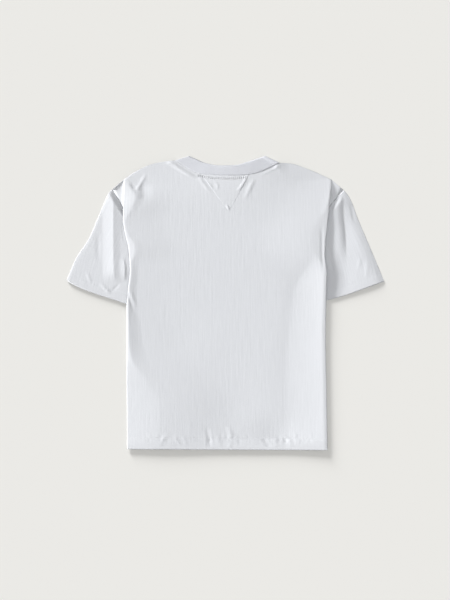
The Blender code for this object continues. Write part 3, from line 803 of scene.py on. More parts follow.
@dataclass
class BodyPanel(SewnPiece):
    """Half of the body: a sheet with a fold along each side, open at neck and hem.

    Args:
        name: the piece's name, and the solid's that it stands for.
        sides: the tables of the left and the right fold.
        loft: heights of the middle of its wall away from its folds, by y.
        marks: its creases, swells and gathers.
        top_line: gives y of its top edge at x.
        columns: over a shoulder, and across the neck.
        first_rows: distances of the first sections from the shoulder.
        row_step: between the sections after those.
        fold_steps: steps of the curve round each fold.
        crest_power: how fast the wall bends down from its crest, to both sides.
        shoulder_tips: heights of the left and the right end of the shoulder line.
        tip_blend: width over which the shoulder line comes down to those.
        fold_turn: height of the upright part of a fold.
        fold_slant: the greatest share of the tucked cloth's width that slants down to the surface.
        fold_lean: how much longer the slant gets with the fold's height.
        hem_level: height that the stitched hem keeps to.
        hem_even: how far it is drawn to that, as a share.
    """

    name: str
    sides: tuple[Sequence[SideRow], Sequence[SideRow]]
    loft: Sequence[Point]
    marks: Sequence[Any]
    top_line: Callable[[Array], Array]
    columns: tuple[int, int]
    first_rows: Array
    row_step: float
    fold_steps: tuple[int, ...]
    rounding: float = 1.6
    column_easing: float = 1.25
    crest_power: float = 1.35
    edge_roll: float = 4.0
    shoulder_tips: Point = (5.0, 1.9)
    tip_blend: float = 60.0
    fold_turn: float = 1.4
    fold_slant: float = 0.5
    fold_lean: float = 0.9
    rolled: bool = True
    wall: float = 0.7
    hem_depth: float = 25.0
    hem_step: float = 1.5
    hem_level: float = 5.6
    hem_even: float = 0.55
    hem_lift: float = 0.15
    stitch_dent: float = 0.12
    dent_width: float = 1.6

    def height(self, x: Array, y: Array) -> Array:
        """Give the height of the panel's wall.

        Args:
            x: across the garment.
            y: along it.

        Returns:
            The height of the middle of the wall.
        """
        table = np.array(self.loft)
        rest = smooth(-table[:, 0], table[:, 1], -np.asarray(y, float))[..., 0]
        height = rest
        for side, rows in zip(Side, self.sides):
            row = side_at(rows, y)
            inside = row.fold - side.value * x
            to_crest = 1 - np.clip(1 - inside / row.inset, 0, None) ** self.crest_power
            outer = row.edge + (row.crest - row.edge) * to_crest
            behind = inside - row.inset
            low = row.crest - row.drop
            inner = (
                rest + (low - rest) * (1 - ease(behind / row.reach))
                + row.drop * (1 - np.clip(behind / row.near, 0, 1)) ** self.crest_power)
            height = height + np.where(inside < row.inset, outer, inner) - rest
        height = height + relief(self.marks, x, y)
        if not self.rolled:
            return height
        tip = np.where(x < 0, *self.shoulder_tips)
        edge = tip + (height - tip) * ease((self.sides[0][0].fold - np.abs(x)) / self.tip_blend)
        return edge + (height - edge) * roll((shoulder_line(x) - y) / self.edge_roll)

    def hem_line(self, x: Array) -> Array:
        """Give y of the hem at x."""
        left, right = self.sides
        return np.interp(x, (-left[-1].fold, right[-1].fold), (HEM_LEFT, HEM_RIGHT))

    def section_rows(self) -> Array:
        """Place the sections.

        Returns:
            Their distances from the shoulder, as shares of the length.
        """
        length = self.sides[0][0].y - HEM_LEFT
        body = np.arange(self.first_rows[-1] + self.row_step, length - self.hem_depth - 4, self.row_step)
        hem = np.arange(length, length - self.hem_depth - 3, -self.hem_step)[::-1]
        return np.concatenate([self.first_rows, body, hem]) / length

    def fold_under(self, side: Side, row: SideRow, start: Array, fade: Array) -> Array:
        """Carry each section round its side fold to the seam.

        Args:
            side: which fold.
            row: the side's values at each section.
            start: the panel's last point of each section.
            fade: 0 where a section is at the shoulder's edge, 1 where it has its own heights.

        Returns:
            Sections by steps by 3.
        """
        tip = self.shoulder_tips[side is Side.RIGHT]
        edge, low, seam_z = (tip + (z - tip) * fade for z in (row.edge, row.low, row.seam_z))
        fold = np.stack([side.value * row.fold, row.y], axis=-1)
        seam = np.stack([side.value * row.seam_x, row.seam_y], axis=-1)
        way = seam - fold
        slant = 2 * self.rounding + self.fold_lean * np.abs(edge - low)
        step = np.minimum(self.fold_slant, slant / np.linalg.norm(way, axis=-1))[:, None]
        guides = [
            start,
            np.column_stack([fold, edge]),
            np.column_stack([fold, np.maximum(edge - self.fold_turn, np.minimum(low, edge))]),
            np.column_stack([fold + way * step, low]),
            np.column_stack([seam, seam_z]),
        ]
        return np.stack(through(guides, self.fold_steps), axis=1)

    def across(self, left: Array, right: Array) -> Array:
        """Place the columns of each section: shoulder, neck, shoulder.

        Args:
            left: x of each section's first column.
            right: x of its last.

        Returns:
            Sections by columns.
        """
        outer, middle = self.columns
        t = np.linspace(0, 1, outer + 1)[:-1] ** self.column_easing
        ends = ((left, -NECK_HALF), (right, NECK_HALF))
        shoulders = [edge[:, None] + (corner - edge[:, None]) * t for edge, corner in ends]
        neck = np.broadcast_to(np.linspace(-NECK_HALF, NECK_HALF, middle + 1), (len(left), middle + 1))
        return np.concatenate([shoulders[0], neck, shoulders[1][:, ::-1]], axis=1)

    def evened(self, height: Array, from_hem: Array) -> Array:
        """Draw heights near the hem towards one level, as the stitched hem does."""
        return height + (self.hem_level - height) * self.hem_even * (1 - ease(from_hem / self.hem_depth))

    def grid(self) -> Array:
        """Build the panel's surface.

        Returns:
            Rows by columns by 3, from the shoulder to the hem.
        """
        shares = self.section_rows()
        rows = [side_at(table, table[0].y + (table[-1].y - table[0].y) * shares) for table in self.sides]
        x = self.across(-(rows[0].fold - self.rounding), rows[1].fold - self.rounding)
        top = self.top_line(x)
        y = top + (self.hem_line(x) - top) * shares[:, None]
        main = np.stack([x, y, self.height(x, y)], axis=-1)
        from_hem = y - self.hem_line(x)
        main[..., 2] = self.evened(main[..., 2], from_hem)
        main[..., 2] += self.hem_lift * ease((self.hem_depth + 1 - from_hem) / 2)
        main[..., 2] -= self.stitch_dent * np.exp(-((from_hem - self.hem_depth + 1) / self.dent_width) ** 2)
        rows = [
            row._replace(edge=self.evened(row.edge, row.y - table[-1].y))
            for row, table in zip(rows, self.sides)
        ]
        fade = np.ones(len(shares))
        if self.rolled:
            fade = roll(shares * (self.sides[0][0].y - HEM_LEFT) / self.edge_roll)
        left = self.fold_under(Side.LEFT, rows[0], main[:, 0], fade)
        right = self.fold_under(Side.RIGHT, rows[1], main[:, -1], fade)
        return np.concatenate([left[:, ::-1], main, right], axis=1)


def front_side(rows: Sequence[SideRow]) -> tuple[SideRow, ...]:
    """Work out the front panel's sections from the back panel's, one wall inside its folds.

    Args:
        rows: the back panel's table.

    Returns:
        The front panel's table.
    """
    made = list(FRONT_TOP)
    for row in rows:
        if row.y > FRONT_JOINS_BACK_BELOW:
            continue
        low = row.low + TUCK_LAYER
        made.append(row._replace(
            fold=row.fold - FRONT_INSET, inset=max(row.inset - FRONT_INSET, LEAST_INSET),
            edge=max(row.edge - FRONT_DROP, low + LEAST_EDGE),
            crest=max(row.crest - FRONT_DROP, low + LEAST_CREST), low=low, seam_z=low))
    return tuple(made)


PEAK = (Flank.PEAKED, Flank.PEAKED)
HEM_SEAM = ((-215, -296), (215, -298))
HEM_CROWD = (0.17, 0.48, 0.53, 0.8, 0.85)
BACK_MARKS = (
    # Left shoulder: a thin diagonal ridge, a hollow on each side of it
    Crease(((-179, 284), (-190, 264), (-202, 243)), 0.9, 5, 5, (0.3, 0.3), PEAK),
    Crease(((-184, 272), (-184, 250), (-186, 222)), -0.8, 24, 12, (0.35, 0.35)),
    Crease(((-214, 266), (-208, 258), (-202, 248)), -0.7, 8, 6, (0.4, 0.4)),
    # Seam allowance along the left of the neck
    Crease(((-134, 311), (-121, 306), (-105, 295), (-87, 284.5), (-66, 275.5)), 1.4, 7, 6.5, (0.12, 0.3)),
    Crease(((-63, 280), (-50, 260), (-35, 240)), 0.7, 4, 6, (0.2, 0.5), PEAK),
    Crease(((44, 281), (35, 263), (24, 248)), 0.6, 6, 6, (0.25, 0.5)),
    Crease(((60, 275), (48, 252), (35, 222)), 0.9, 7, 6, (0.25, 0.5), PEAK),
    Crease(((118, 303), (96, 292), (72, 281)), 0.5, 4, 5, (0.25, 0.35)),
    Crease(((110, 322), (109, 307), (100, 292)), 1.5, 26, 4, (0.1, 0.4), PEAK),
    # Fold beside the left edge, below the cuff
    Crease(((-223, 34), (-215, 8), (-203, -27)), -0.7, 5, 5, (0.25, 0.5)),
    Crease(((-213, 30), (-207, 10), (-199, -14)), 0.5, 5, 5, (0.3, 0.5)),
    # Thin line inside the right edge
    Crease(((206.5, 176), (207.5, 115), (210.5, 56)), -0.5, 5, 5, (0.25, 0.25)),
    # The middle's own slow ups and downs
    Swell(25, 275, 100, 60, 2.6),
    Swell(-104, -70, 46, 50, -0.5, 20),
    Swell(15, -230, 75, 100, -1.3),
    # Where the hem's stitching draws the cloth in
    Swell(104, -286, 44, 32, -2.0),
    Crease(((-134, -288), (-143, -302), (-148, -316)), 0.7, 5, 5, (0.3, 0.25), PEAK),
    Crease(((-118, -287), (-113, -300), (-102, -314)), 0.5, 5, 4, (0.3, 0.3), PEAK),
    Crease(((-96, -290), (-94, -303), (-88, -314)), 0.45, 4, 4, (0.3, 0.3), PEAK),
    Crease(((-46, -270), (-41, -294), (-38, -318)), -0.6, 6, 8, (0.3, 0.1)),
    Crease(((-18, -284), (-20, -300), (-16, -318)), 0.5, 5, 6, (0.3, 0.1), PEAK),
    Crease(((2, -266), (7, -290), (6, -319)), 0.8, 4, 9, (0.35, 0.05), PEAK),
    Crease(((79, -292), (84, -305), (92, -318)), -0.6, 9, 7, (0.3, 0.1)),
    Crease(((104, -294), (106, -306), (107, -318)), 0.6, 5, 6, (0.3, 0.1), PEAK),
    Crease(((125, -293), (127, -306), (124, -318)), -0.45, 6, 5, (0.3, 0.1)),
    Crease(((136, -294), (138, -306), (140, -317)), 0.45, 4, 6, (0.3, 0.2), PEAK),
    Gathers(HEM_SEAM, 34, 0.5, (7, 18), (3.0, 5.0), 16, HEM_CROWD, 11),
    Gathers(HEM_SEAM, 34, -0.5, (-22, -9), (3.0, 5.0), 20, HEM_CROWD, 12),
    Gathers(((-60, 276), (2.9, 203), (48, 276)), 16, 0.3, (5, 12), (2.0, 3.5), 25, (), 5),
)
FRONT_MARKS = (
    Crease(((-150, 180), (-120, 100), (-130, 10)), 0.8, 14, 12, (0.4, 0.4)),
    Crease(((120, 150), (100, 60), (118, -60)), 0.7, 12, 16, (0.4, 0.4)),
    Crease(((-60, 20), (-20, -60), (-40, -160)), 0.7, 14, 14, (0.4, 0.4)),
    Swell(40, 90, 50, 40, 0.8, 20),
    Swell(-90, -220, 60, 40, 0.7),
    Swell(110, -230, 50, 46, 0.7),
)


# --- Sleeves ---


@dataclass
class Sleeve(SewnPiece):
    """A short sleeve that lies on the surface, its seam tucked under the body's side.

    Args:
        name: the piece's name, and the solid's that it stands for.
        side: which side it is on.
        rows: the body's table of that side.
        top_edge: plan of its upper edge, x counted outward from the centre line.
        cuff: plan of its cuff, from the tip to the underarm seam.
        marks: its creases; x runs to the right as everywhere.
        rise: how far beyond the body's fold it begins to rise, and over what width.
        edge_drop: how far it rolls down to its upper edge, and over what width.
        swell: how much higher it is outside the body.
        edge_turn: height of the upright part of its upper edge.
        seam_blend: how far from the armhole it has its own height.
        tuck_gap: how much wider its gap to the body is where it is tucked under.
        armhole_bottom: y of the armhole's lower end.
        tuck_start: y from which it is tucked under the body.
        tuck_blend: over what length.
    """

    loop: ClassVar[Loop] = Loop.COLUMNS
    name: str
    side: Side
    rows: Sequence[SideRow]
    top_edge: tuple[Point, ...]
    cuff: tuple[Point, ...]
    marks: Sequence[Any]
    rise: Point
    edge_drop: Point
    rings: int = 96
    upper_columns: int = 110
    lower_columns: int = 26
    floor_height: float = 0.4
    upper_height: float = 1.2
    swell: float = 2.2
    edge_turn: float = 1.6
    round_top: float = 1.5
    round_under: float = 1.2
    seam_blend: float = 14.0
    gap: float = 0.5
    tuck_gap: float = 0.6
    armhole_bottom: float = 104.0
    armhole_samples: int = 60
    tuck_start: float = 226.0
    tuck_blend: float = 14.0
    hem_depth: float = 20.0
    stitch_dent: float = 0.12
    dent_width: float = 1.8
    wall: float = 0.7

    def grain(self, points: Array) -> Array:
        """Lay the tube out flat from its underarm seam."""
        return unrolled(points, 0)

    def height(self, x: Array, y: Array) -> Array:
        """Give the height of the upper layer: flat under the body, loose and creased outside it."""
        start, width = self.rise
        loose = ease((self.side.value * x - side_at(self.rows, y).fold - start) / width)
        return self.upper_height + (self.swell + relief(self.marks, x, y)) * loose

    def grid(self) -> Array:
        """Build the sleeve as rings from the armhole to the cuff.

        Returns:
            Rings by columns by 3.
        """
        armhole_y = np.linspace(self.rows[0].y, self.armhole_bottom, self.armhole_samples)
        body = side_at(self.rows, armhole_y)
        tucked = ease((self.tuck_start - body.y) / self.tuck_blend)
        armhole = np.column_stack([
            body.seam_x + self.gap + self.tuck_gap * tucked, body.seam_y,
            body.seam_z + (self.upper_height - body.seam_z) * tucked])
        start, under_start = armhole[0, :2], armhole[-1, :2]
        tip, under_end = np.array(self.cuff[0]), np.array(self.cuff[-1])
        top_edge = np.array([start, *self.top_edge])

        def plan(t: float, w: Array) -> Array:
            """Blend the four edges: t goes from armhole to cuff, w from the top edge to the underarm."""
            t, w = np.broadcast_arrays(np.asarray(t, float), np.atleast_1d(np.asarray(w, float)))
            arm, cuff = along(armhole, w)[..., :2], along(self.cuff, w)
            top, under = along(top_edge, t), under_start + (under_end - under_start) * t[..., None]
            t, w = t[..., None], w[..., None]
            corners = (1 - t) * ((1 - w) * start + w * under_start) + t * ((1 - w) * tip + w * under_end)
            return (1 - t) * arm + t * cuff + (1 - w) * top + w * under - corners

        def ring_points(t: float, w: Array, z: Array) -> Array:
            """Give the places in space of points of one ring."""
            x, y = plan(t, w).T
            return np.column_stack([self.side.value * x, y, np.broadcast_to(z, x.shape)])

        length = np.linalg.norm(tip - start)
        drop, reach = self.edge_drop
        rings = []
        for step in np.linspace(0, 1, self.rings):
            width = np.linalg.norm(plan(step, 1.0) - plan(step, 0.0))
            top, under = self.round_top / width, self.round_under / width
            w_upper = np.linspace(1 - under, top, self.upper_columns)
            x, y = plan(step, w_upper).T
            loose = self.height(self.side.value * x, y)
            seam_z = along(armhole, w_upper)[:, 2]
            joined = ease(step * length / self.seam_blend)
            from_cuff = (1 - step) * np.linalg.norm(plan(1.0, w_upper) - plan(0.0, w_upper), axis=1)
            groove = self.stitch_dent * np.exp(-((from_cuff - self.hem_depth) / self.dent_width) ** 2)
            rolled = drop * (1 - np.clip((w_upper * width - self.round_top) / reach, 0, 1)) ** 2
            upper_z = seam_z + (loose - seam_z - rolled) * joined - groove
            upper = ring_points(step, w_upper, upper_z)
            drawn_in = (self.round_top + upper_z[-1]) / width
            w_lower = np.linspace(drawn_in, 1 - under, self.lower_columns)
            lower = ring_points(step, w_lower, self.floor_height)
            turn = max(upper_z[-1] - self.edge_turn, self.floor_height)
            edges = [
                ring_points(step, w, z)[0]
                for w, z in ((0.0, upper_z[-1]), (0.0, turn), (1.0, self.floor_height), (1.0, upper_z[0]))
            ]
            top_fold = through([upper[-1], edges[0], edges[1], lower[0]], (6, 6))
            under_fold = through([lower[-1], edges[2], edges[3], upper[0]], (3, 3))
            rings.append(np.array([*upper, *top_fold, *lower[1:], *under_fold[:-1]]))
        return np.array(rings)


SLEEVES = (
    Sleeve(
        "sleeve_left", Side.LEFT, BACK_LEFT,
        top_edge=((261.1, 241.7), (277.9, 203.6), (306.5, 139.2), (332.6, 98.7), (353.0, 51.0)),
        cuff=((353.0, 51.0), (343.5, 43.0), (225.5, -0.3), (189.0, -13.0)),
        rise=(-8.0, 10.0),
        edge_drop=(0.3, 6.0),
        marks=(
            Crease(((-249, 262), (-251, 218), (-251, 168), (-251, 115), (-250, 73), (-245, 40)),
                   3.2, 16, 25, (0.12, 0.16), PEAK, (0.62, 0.0)),
            Crease(((-227, 250), (-226, 215), (-231, 185), (-229, 150), (-221, 122)),
                   -0.35, 5, 5, (0.2, 0.3)),
            Crease(((-230, 104), (-226, 78), (-226, 46)), 1.0, 5, 12, (0.35, 0.3), PEAK),
            Crease(((-284, 160), (-284, 120), (-283, 86)), -0.4, 7, 9, (0.4, 0.4)),
            Crease(((-282, 46), (-270, 34), (-256, 20)), 0.7, 6, 6, (0.4, 0.3), PEAK),
            Crease(((-256, 24), (-246, 34), (-236, 44)), -0.5, 5, 5, (0.4, 0.4)),
            Crease(((-310, 70), (-304, 56), (-300, 40)), 0.4, 5, 6, (0.4, 0.4)),
            Gathers(((-343, 62), (-226, 20)), 14, 0.3, (-14, -6), (2.5, 4.5), 20, (), 21),
        ),
    ),
    Sleeve(
        "sleeve_right", Side.RIGHT, BACK_RIGHT,
        top_edge=((268.8, 231.1), (286.7, 185.6), (314.4, 120.0), (344.7, 47.9)),
        cuff=((344.7, 47.9), (254.1, 16.0), (218.5, 6.6), (186.0, 0.5)),
        rise=(-2.0, 10.0),
        edge_drop=(1.7, 20.0),
        marks=(
            Crease(((239, 252), (239, 205), (244, 150), (246, 112), (249, 80)),
                   2.6, 15, 30, (0.12, 0.4), (Flank.ARCHED, Flank.SOFT)),
            Swell(243, 150, 40, 55, -2.2, -10),
            Swell(247, 58, 36, 46, -1.5),
            Crease(((270, 224), (275, 200), (281, 172)), -0.4, 5, 6, (0.4, 0.4)),
            Crease(((295, 104), (290, 90), (285, 70)), 0.3, 6, 6, (0.4, 0.4)),
            Crease(((308, 100), (306, 76), (304, 50)), 0.3, 8, 6, (0.4, 0.4)),
            Gathers(((335, 62), (226, 28)), 10, 0.25, (-14, -6), (2.5, 4.5), 20, (), 31),
        ),
    ),
)


# --- Neckband and gusset ---


@dataclass
class Neckband(SewnPiece):
    """A doubled rib band round the neck: over the back, turned at the shoulders, under the front.

    Args:
        panel: the back panel, whose edge it is sewn to.
        crown_rise: how fast its middle rises from its seam and from its rim.
        overlap: how far its seam edge lies on the back panel.
        turn: how far its halves stop before the shoulder.
        most_turn: the same as a share of the last step, at most.
        turn_gap: how far from the back panel's edge the turn at the shoulder is.
        front_rim_drop: y of the front rim's lowest point.
        front_rim_swing: how far that rim's quarters swing outward and down.
        lean: how much lower the left end is than the middle.
        sink: how far it is pressed down.
    """

    ending: ClassVar[str] = "_rib"
    loop: ClassVar[Loop] = Loop.ROWS
    panel: BodyPanel
    name: str = "neckband"
    steps: int = 90
    columns: int = 14
    front_height: float = 0.7
    wall: float = 1.2
    crown: float = 0.35
    crown_rise: Point = (5.0, 6.0)
    gap: float = 0.1
    overlap: float = 0.7
    turn: float = 3.0
    most_turn: float = 0.9
    turn_gap: float = 1.8
    turn_steps: int = 6
    front_rim_half: float = 83.0
    front_rim_drop: float = 219.0
    front_rim_swing: Point = (6.0, 5.0)
    lean: float = 0.4
    sink: float = 0.2

    def grain(self, points: Array) -> Array:
        """Lay the ring out flat, its ribs across its length."""
        return unrolled(points, self.columns // 2)[..., ::-1]

    def finish(self, garment: Garment) -> tuple[bpy.types.Material, str]:
        """Choose the rib."""
        return garment.rib, CottonRib.slot

    def section(self, seam: Array, rim: Array, z: float) -> Array:
        """Put a section's points across the band's width, crowned a little.

        Args:
            seam: the point on the seam, (x, y).
            rim: the point on the rim.
            z: the section's height at its edges.

        Returns:
            Points by 3.
        """
        t = np.linspace(0, 1, self.columns)[:, None]
        flat = seam + (rim - seam) * t
        from_seam, from_rim = self.crown_rise
        crown = self.crown * roll(from_seam * t) * roll(from_rim * (1 - t))
        return np.column_stack([flat, z + crown * (z > self.front_height)])

    def clear(self, seam: Array, rim: Array, gap: float) -> Array:
        """Move the band's seam edge off the panel's edge by a gap, towards its rim."""
        way = rim - seam
        return seam + way * (gap / np.linalg.norm(way, axis=1))[:, None]

    def drawn_in(self, sections: list[Array]) -> list[Array]:
        """Pull the first and last section in from the fold by the width of its rounding.

        Args:
            sections: the sections of one half of the band.

        Returns:
            The sections with both ends moved.
        """
        made = list(sections)
        for end, beside in ((0, 1), (-1, -2)):
            gap = np.linalg.norm((sections[beside] - sections[end])[:, :2], axis=1)[:, None]
            share = np.minimum(self.most_turn, self.turn / gap)
            made[end] = sections[end] + (sections[beside] - sections[end]) * share
        return made

    def grid(self) -> Array:
        """Build the band's surface.

        Returns:
            Sections by columns by 3, all round the neck.
        """
        x = NECK_HALF * np.cos(np.linspace(np.pi, 0, self.steps + 1))
        seam = np.column_stack([x, shoulder_line(x)])
        run = lengths(seam)
        rim = along(BACK_RIM, run / run[-1])
        front_seam = np.column_stack([x, front_top_line(x)])[::-1]
        angle = np.linspace(0, np.pi, self.steps + 1)
        rim_y = np.linspace(BACK_RIM[-1][1], BACK_RIM[0][1], self.steps + 1)
        widen = np.sin(2 * angle)
        outward, down = self.front_rim_swing
        front_rim = np.column_stack([
            self.front_rim_half * np.cos(angle) + outward * widen,
            rim_y - (rim_y - self.front_rim_drop) * np.sin(angle) - down * np.abs(widen)])
        turned = self.clear(seam, rim, self.turn_gap)
        seam = self.clear(seam, rim, -self.overlap)
        front_seam = self.clear(front_seam, front_rim, self.gap)
        heights = self.panel.height(x, shoulder_line(x) - 1.0) + self.lean * x / NECK_HALF - self.sink
        low = self.front_height
        back = self.drawn_in([self.section(*line) for line in zip(seam, rim, heights)])
        front = self.drawn_in([self.section(s, r, low) for s, r in zip(front_seam, front_rim)])
        count = (self.turn_steps, self.turn_steps)
        upper_right, lower_right = (self.section(turned[-1], rim[-1], z) for z in (heights[-1], low))
        upper_left, lower_left = (self.section(turned[0], rim[0], z) for z in (heights[0], low))
        right_turn = through([back[-1], upper_right, lower_right, front[0]], count)
        left_turn = through([front[-1], lower_left, upper_left, back[0]], count)
        return np.array([*back, *right_turn, *front[1:], *left_turn[:-1]])


@dataclass
class NeckGusset(SewnPiece):
    """The sewn triangle below the back neckline, on the back panel's surface.

    Args:
        panel: the back panel.
        lift: how far the middle of its wall is above the middle of the panel's.
        seam_gap: from its top edge to the neck seam.
        edge_dip: how far its sides are pressed down, and over what width.
    """

    panel: BodyPanel
    name: str = "neck_gusset"
    top_left: float = -57.0
    top_right: float = 47.0
    point: Point = (2.9, 203.0)
    point_half: float = 1.2
    rows: int = 76
    columns: int = 80
    wall: float = 0.14
    lift: float = 0.45
    seam_gap: float = 0.6
    edge_dip: Point = (0.04, 3.0)
    marks: Sequence[Any] = field(default_factory=lambda: (
        Gathers(((-55, 278), (2.9, 203), (46, 278)), 26, 0.3, (-12, -5), (2.0, 3.6), 25, (), 3),
        Crease(((-46, 270), (-38, 258), (-30, 250)), 0.45, 5, 5, (0.4, 0.4)),
        Crease(((-30, 268), (-22, 258), (-24, 246)), 0.4, 5, 5, (0.4, 0.4)),
        Crease(((34, 266), (28, 254), (18, 246)), 0.5, 5, 5, (0.4, 0.4)),
        Crease(((-4, 218), (1.5, 210), (2.9, 204)), 0.6, 4, 4, (0.4, 0.2)),
    ))

    def grid(self) -> Array:
        """Build the triangle from its top edge to its point.

        Returns:
            Rows by columns by 3.
        """
        point_x, point_y = self.point
        dip, dip_width = self.edge_dip
        rows = []
        for t in np.linspace(0, 1, self.rows):
            left = self.top_left + (point_x - self.point_half - self.top_left) * t
            right = self.top_right + (point_x + self.point_half - self.top_right) * t
            x = np.linspace(left, right, self.columns)
            top = shoulder_line(x) - self.seam_gap
            y = top + (point_y - top) * t
            edge = np.minimum(x - left, right - x)
            rolled = self.lift - dip * (1 - roll(edge / dip_width))
            z = self.panel.height(x, y) + rolled + relief(self.marks, x, y)
            rows.append(np.column_stack([x, y, z]))
        return np.array(rows)

    def grain(self, points: Array) -> Array:
        """Give the triangle the panel's own grain."""
        return points[..., :2].copy()


# --- Sewing ---


@dataclass
class StitchRow:
    """A row of short stitches along a line on a piece.

    Args:
        name: the row's name.
        path: the line, points (x, y).
        pitch: from one stitch to the next.
        way: each stitch as (along the line, square to it).
        thread: radius of the thread.
        surface: gives the height that the stitches lie on.
        uneven: how much the stitches differ.
        seed: of that.
        arch: heights of a stitch from end to end, as shares of the thread's radius.
        reach: share of the line to each side of a stitch that its direction is read from.
    """

    name: str
    path: Sequence[Point]
    pitch: float
    way: Point
    thread: float
    surface: Callable[[Array, Array], Array]
    uneven: float = 0.1
    seed: int = 1
    arch: tuple[float, ...] = (-0.9, 0.4, 0.7, 0.4, -0.9)
    reach: float = 0.004

    def build(self, garment: Garment) -> bpy.types.Object:
        """Add the row.

        Args:
            garment: what it belongs to.

        Returns:
            The row of stitches.
        """
        count = int(lengths(along(self.path, np.linspace(0, 1, 400)))[-1] / self.pitch)
        share = (np.arange(count) + 0.5) / count
        before, after = (
            along(self.path, np.clip(share + step, 0, 1)) for step in (-self.reach, self.reach))
        tangent = (after - before) / np.linalg.norm(after - before, axis=1)[:, None]
        square = np.stack([-tangent[:, 1], tangent[:, 0]], axis=1)
        lean = np.random.default_rng(self.seed).normal(0, self.uneven * self.pitch / 4, tangent.shape)
        half = (self.way[0] * tangent + self.way[1] * square) / 2 + lean
        t = np.linspace(-1.0, 1.0, len(self.arch))
        place = along(self.path, share)[:, None] + half[:, None] * t[:, None]
        x, y = place[..., 0], place[..., 1]
        z = self.surface(x, y) + self.thread * np.array(self.arch)
        curve = bpy.data.curves.new(self.name, "CURVE")
        curve.dimensions = "3D"
        curve.bevel_depth = self.thread * MM
        curve.bevel_resolution = 1
        curve.use_fill_caps = True
        for stitch in np.stack([x, y, z, np.full(x.shape, 1 / MM)], axis=-1) * MM:
            spline = curve.splines.new("POLY")
            spline.points.add(len(t) - 1)
            spline.points.foreach_set("co", stitch.ravel())
        holder = placed(self.name, curve)
        mesh = bpy.data.meshes.new_from_object(holder)
        bpy.data.objects.remove(holder)
        mesh.name = self.name
        mesh.shade_smooth()
        return garment.add(mesh, garment.thread, SewingThread.slot)


# --- Studio ---


@dataclass(frozen=True)
class Window:
    """A window or softbox far away.

    Args:
        name: its name.
        share: its part of the light on a level surface.
        azimuth: the direction it is in, in degrees from X.
        height: how high it stands, in degrees.
        softness: how wide it is, in degrees.
        bounces: how often its light goes on from one surface to another.
    """

    name: str
    share: float
    azimuth: float
    height: float
    softness: float
    bounces: int = 4


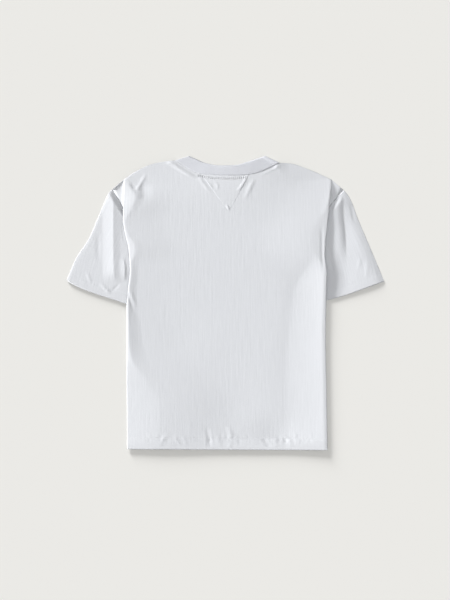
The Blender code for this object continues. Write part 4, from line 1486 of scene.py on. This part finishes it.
@dataclass
class Studio:
    """The board that the garment lies on, its light and the camera straight above it.

    The picture is of a garment cut out and laid on a plain ground: the light that models the cloth comes in
    low from the left, and the shadow on the ground falls to the lower right. So there are two windows, one
    for the garment and one for the board.

    Args:
        centre: what the camera looks at, (x, y).
        distance: how high it stands, in metres.
    """

    millimetres_per_pixel: float = 2.2
    picture_height: int = 600
    centre: Point = (-5.5, 7.15)
    distance: float = 5.0
    sensor: float = 36.0
    board_size: float = 60.0
    fill: str = "#FFFFFF"
    fill_share: float = 0.35
    overhead: Window = Window("softbox", 0.25, 0.0, 90.0, 40.0)
    garment_window: Window = Window("garment_window", 0.40, 168.0, 13.0, 12.0, 0)
    board_window: Window = Window("board_window", 0.34, 118.0, 14.5, 20.0)

    def hang(self, window: Window, lit: Sequence[bpy.types.Object]) -> None:
        """Hang a window's light.

        Args:
            window: its values.
            lit: what it lights, or nothing for all.
        """
        height = np.radians(window.height)
        lamp = bpy.data.lights.new(window.name, "SUN")
        lamp.energy = window.share * np.pi / np.sin(height)
        lamp.angle = np.radians(window.softness)
        lamp.cycles.max_bounces = window.bounces
        light = placed(window.name, lamp)
        light.rotation_euler = (0.0, np.pi / 2 - height, np.radians(window.azimuth))
        if not lit:
            return
        receivers = bpy.data.collections.new("lit by " + window.name)
        for piece in lit:
            receivers.objects.link(piece)
        light.light_linking.receiver_collection = receivers

    def build(self, garment: Sequence[bpy.types.Object]) -> None:
        """Add the board, the windows, the fill and the camera.

        Args:
            garment: the pieces of the garment.
        """
        half = self.board_size / 2
        corners = [(-half, -half, 0), (half, -half, 0), (half, half, 0), (-half, half, 0)]
        mesh = bpy.data.meshes.new("board")
        mesh.from_pydata(corners, [], [(0, 1, 2, 3)])
        mesh.materials.append(PaintedBoard().material())
        board = placed("board", mesh)
        self.hang(self.overhead, ())
        self.hang(self.garment_window, garment)
        self.hang(self.board_window, [board])

        world = bpy.data.worlds.new("fill")
        world.use_nodes = True
        background = world.node_tree.nodes["Background"]
        background.inputs["Color"].default_value = linear(self.fill)
        background.inputs["Strength"].default_value = self.fill_share
        bpy.context.scene.world = world
        bpy.context.scene.view_settings.view_transform = "Standard"

        camera = bpy.data.cameras.new("camera")
        camera.sensor_width = self.sensor
        camera.lens = self.sensor * self.distance / (self.picture_height * self.millimetres_per_pixel * MM)
        view = placed("camera", camera)
        view.location = (self.centre[0] * MM, self.centre[1] * MM, self.distance)
        bpy.context.scene.camera = view


def main() -> None:
    """Build every piece of the garment, then the studio."""
    logging.basicConfig(level=logging.INFO, format="%(name)s: %(message)s")
    garment = Garment(CottonJersey().material(), CottonRib().material(), SewingThread().material())
    fine_rows = np.concatenate([np.array([0, 0.5, 1.2, 2.2, 3.6, 5.2]), np.arange(7.0, 130.0, 1.9)])
    back = BodyPanel(
        "back_panel", (BACK_LEFT, BACK_RIGHT), BACK_LOFT, BACK_MARKS, shoulder_line,
        columns=(38, 76), first_rows=fine_rows, row_step=3.1, fold_steps=(5, 5, 5))
    back_piece = back.build(garment)
    front_sides = (front_side(BACK_LEFT), front_side(BACK_RIGHT))
    front = BodyPanel(
        "front_panel", front_sides, FRONT_LOFT, FRONT_MARKS, front_top_line,
        columns=(20, 40), first_rows=np.arange(0.0, 120.0, 4.0), row_step=6.0, fold_steps=(3, 3, 3),
        rounding=1.4, rolled=False, hem_even=0.0, hem_lift=0.0, stitch_dent=0.0)
    front_piece = front.build(garment)
    sleeves = [sleeve.build(garment) for sleeve in SLEEVES]
    band = Neckband(back).build(garment)
    gusset = NeckGusset(back).build(garment)

    def on_back(x: Array, y: Array) -> Array:
        """Give the height of the back panel's upper face."""
        return back.height(x, y) + back.wall / 2

    hem_kind = {"pitch": 3.3, "way": (2.2, 0.0), "thread": 0.16, "surface": on_back}
    rows = [
        StitchRow("hem_stitches_outer", ((-214, -298.4), (214, -300.4)), seed=2, **hem_kind),
        StitchRow("hem_stitches_inner", ((-214, -294.4), (214, -296.4)), seed=3, **hem_kind),
        # Real thread is a third as thick and its stitches closer, which wouldn't show in the picture
        # Sunk nearly flush with the gusset so they cast little shade; their lighter thread colour stands in
        # for lit stitch tops, a painted highlight
        StitchRow(
            "neck_stitches", ((-67, 281), (-30, 275.5), (10, 274.5), (40, 277)), 4.4, (0.9, 7.0), 0.45,
            lambda x, y: on_back(x, y) + 0.2, seed=4),
    ]
    stitches = [row.build(garment) for row in rows]

    Studio().build([back_piece, front_piece, *sleeves, band, gusset, *stitches])


if __name__ == "__main__":
    main()
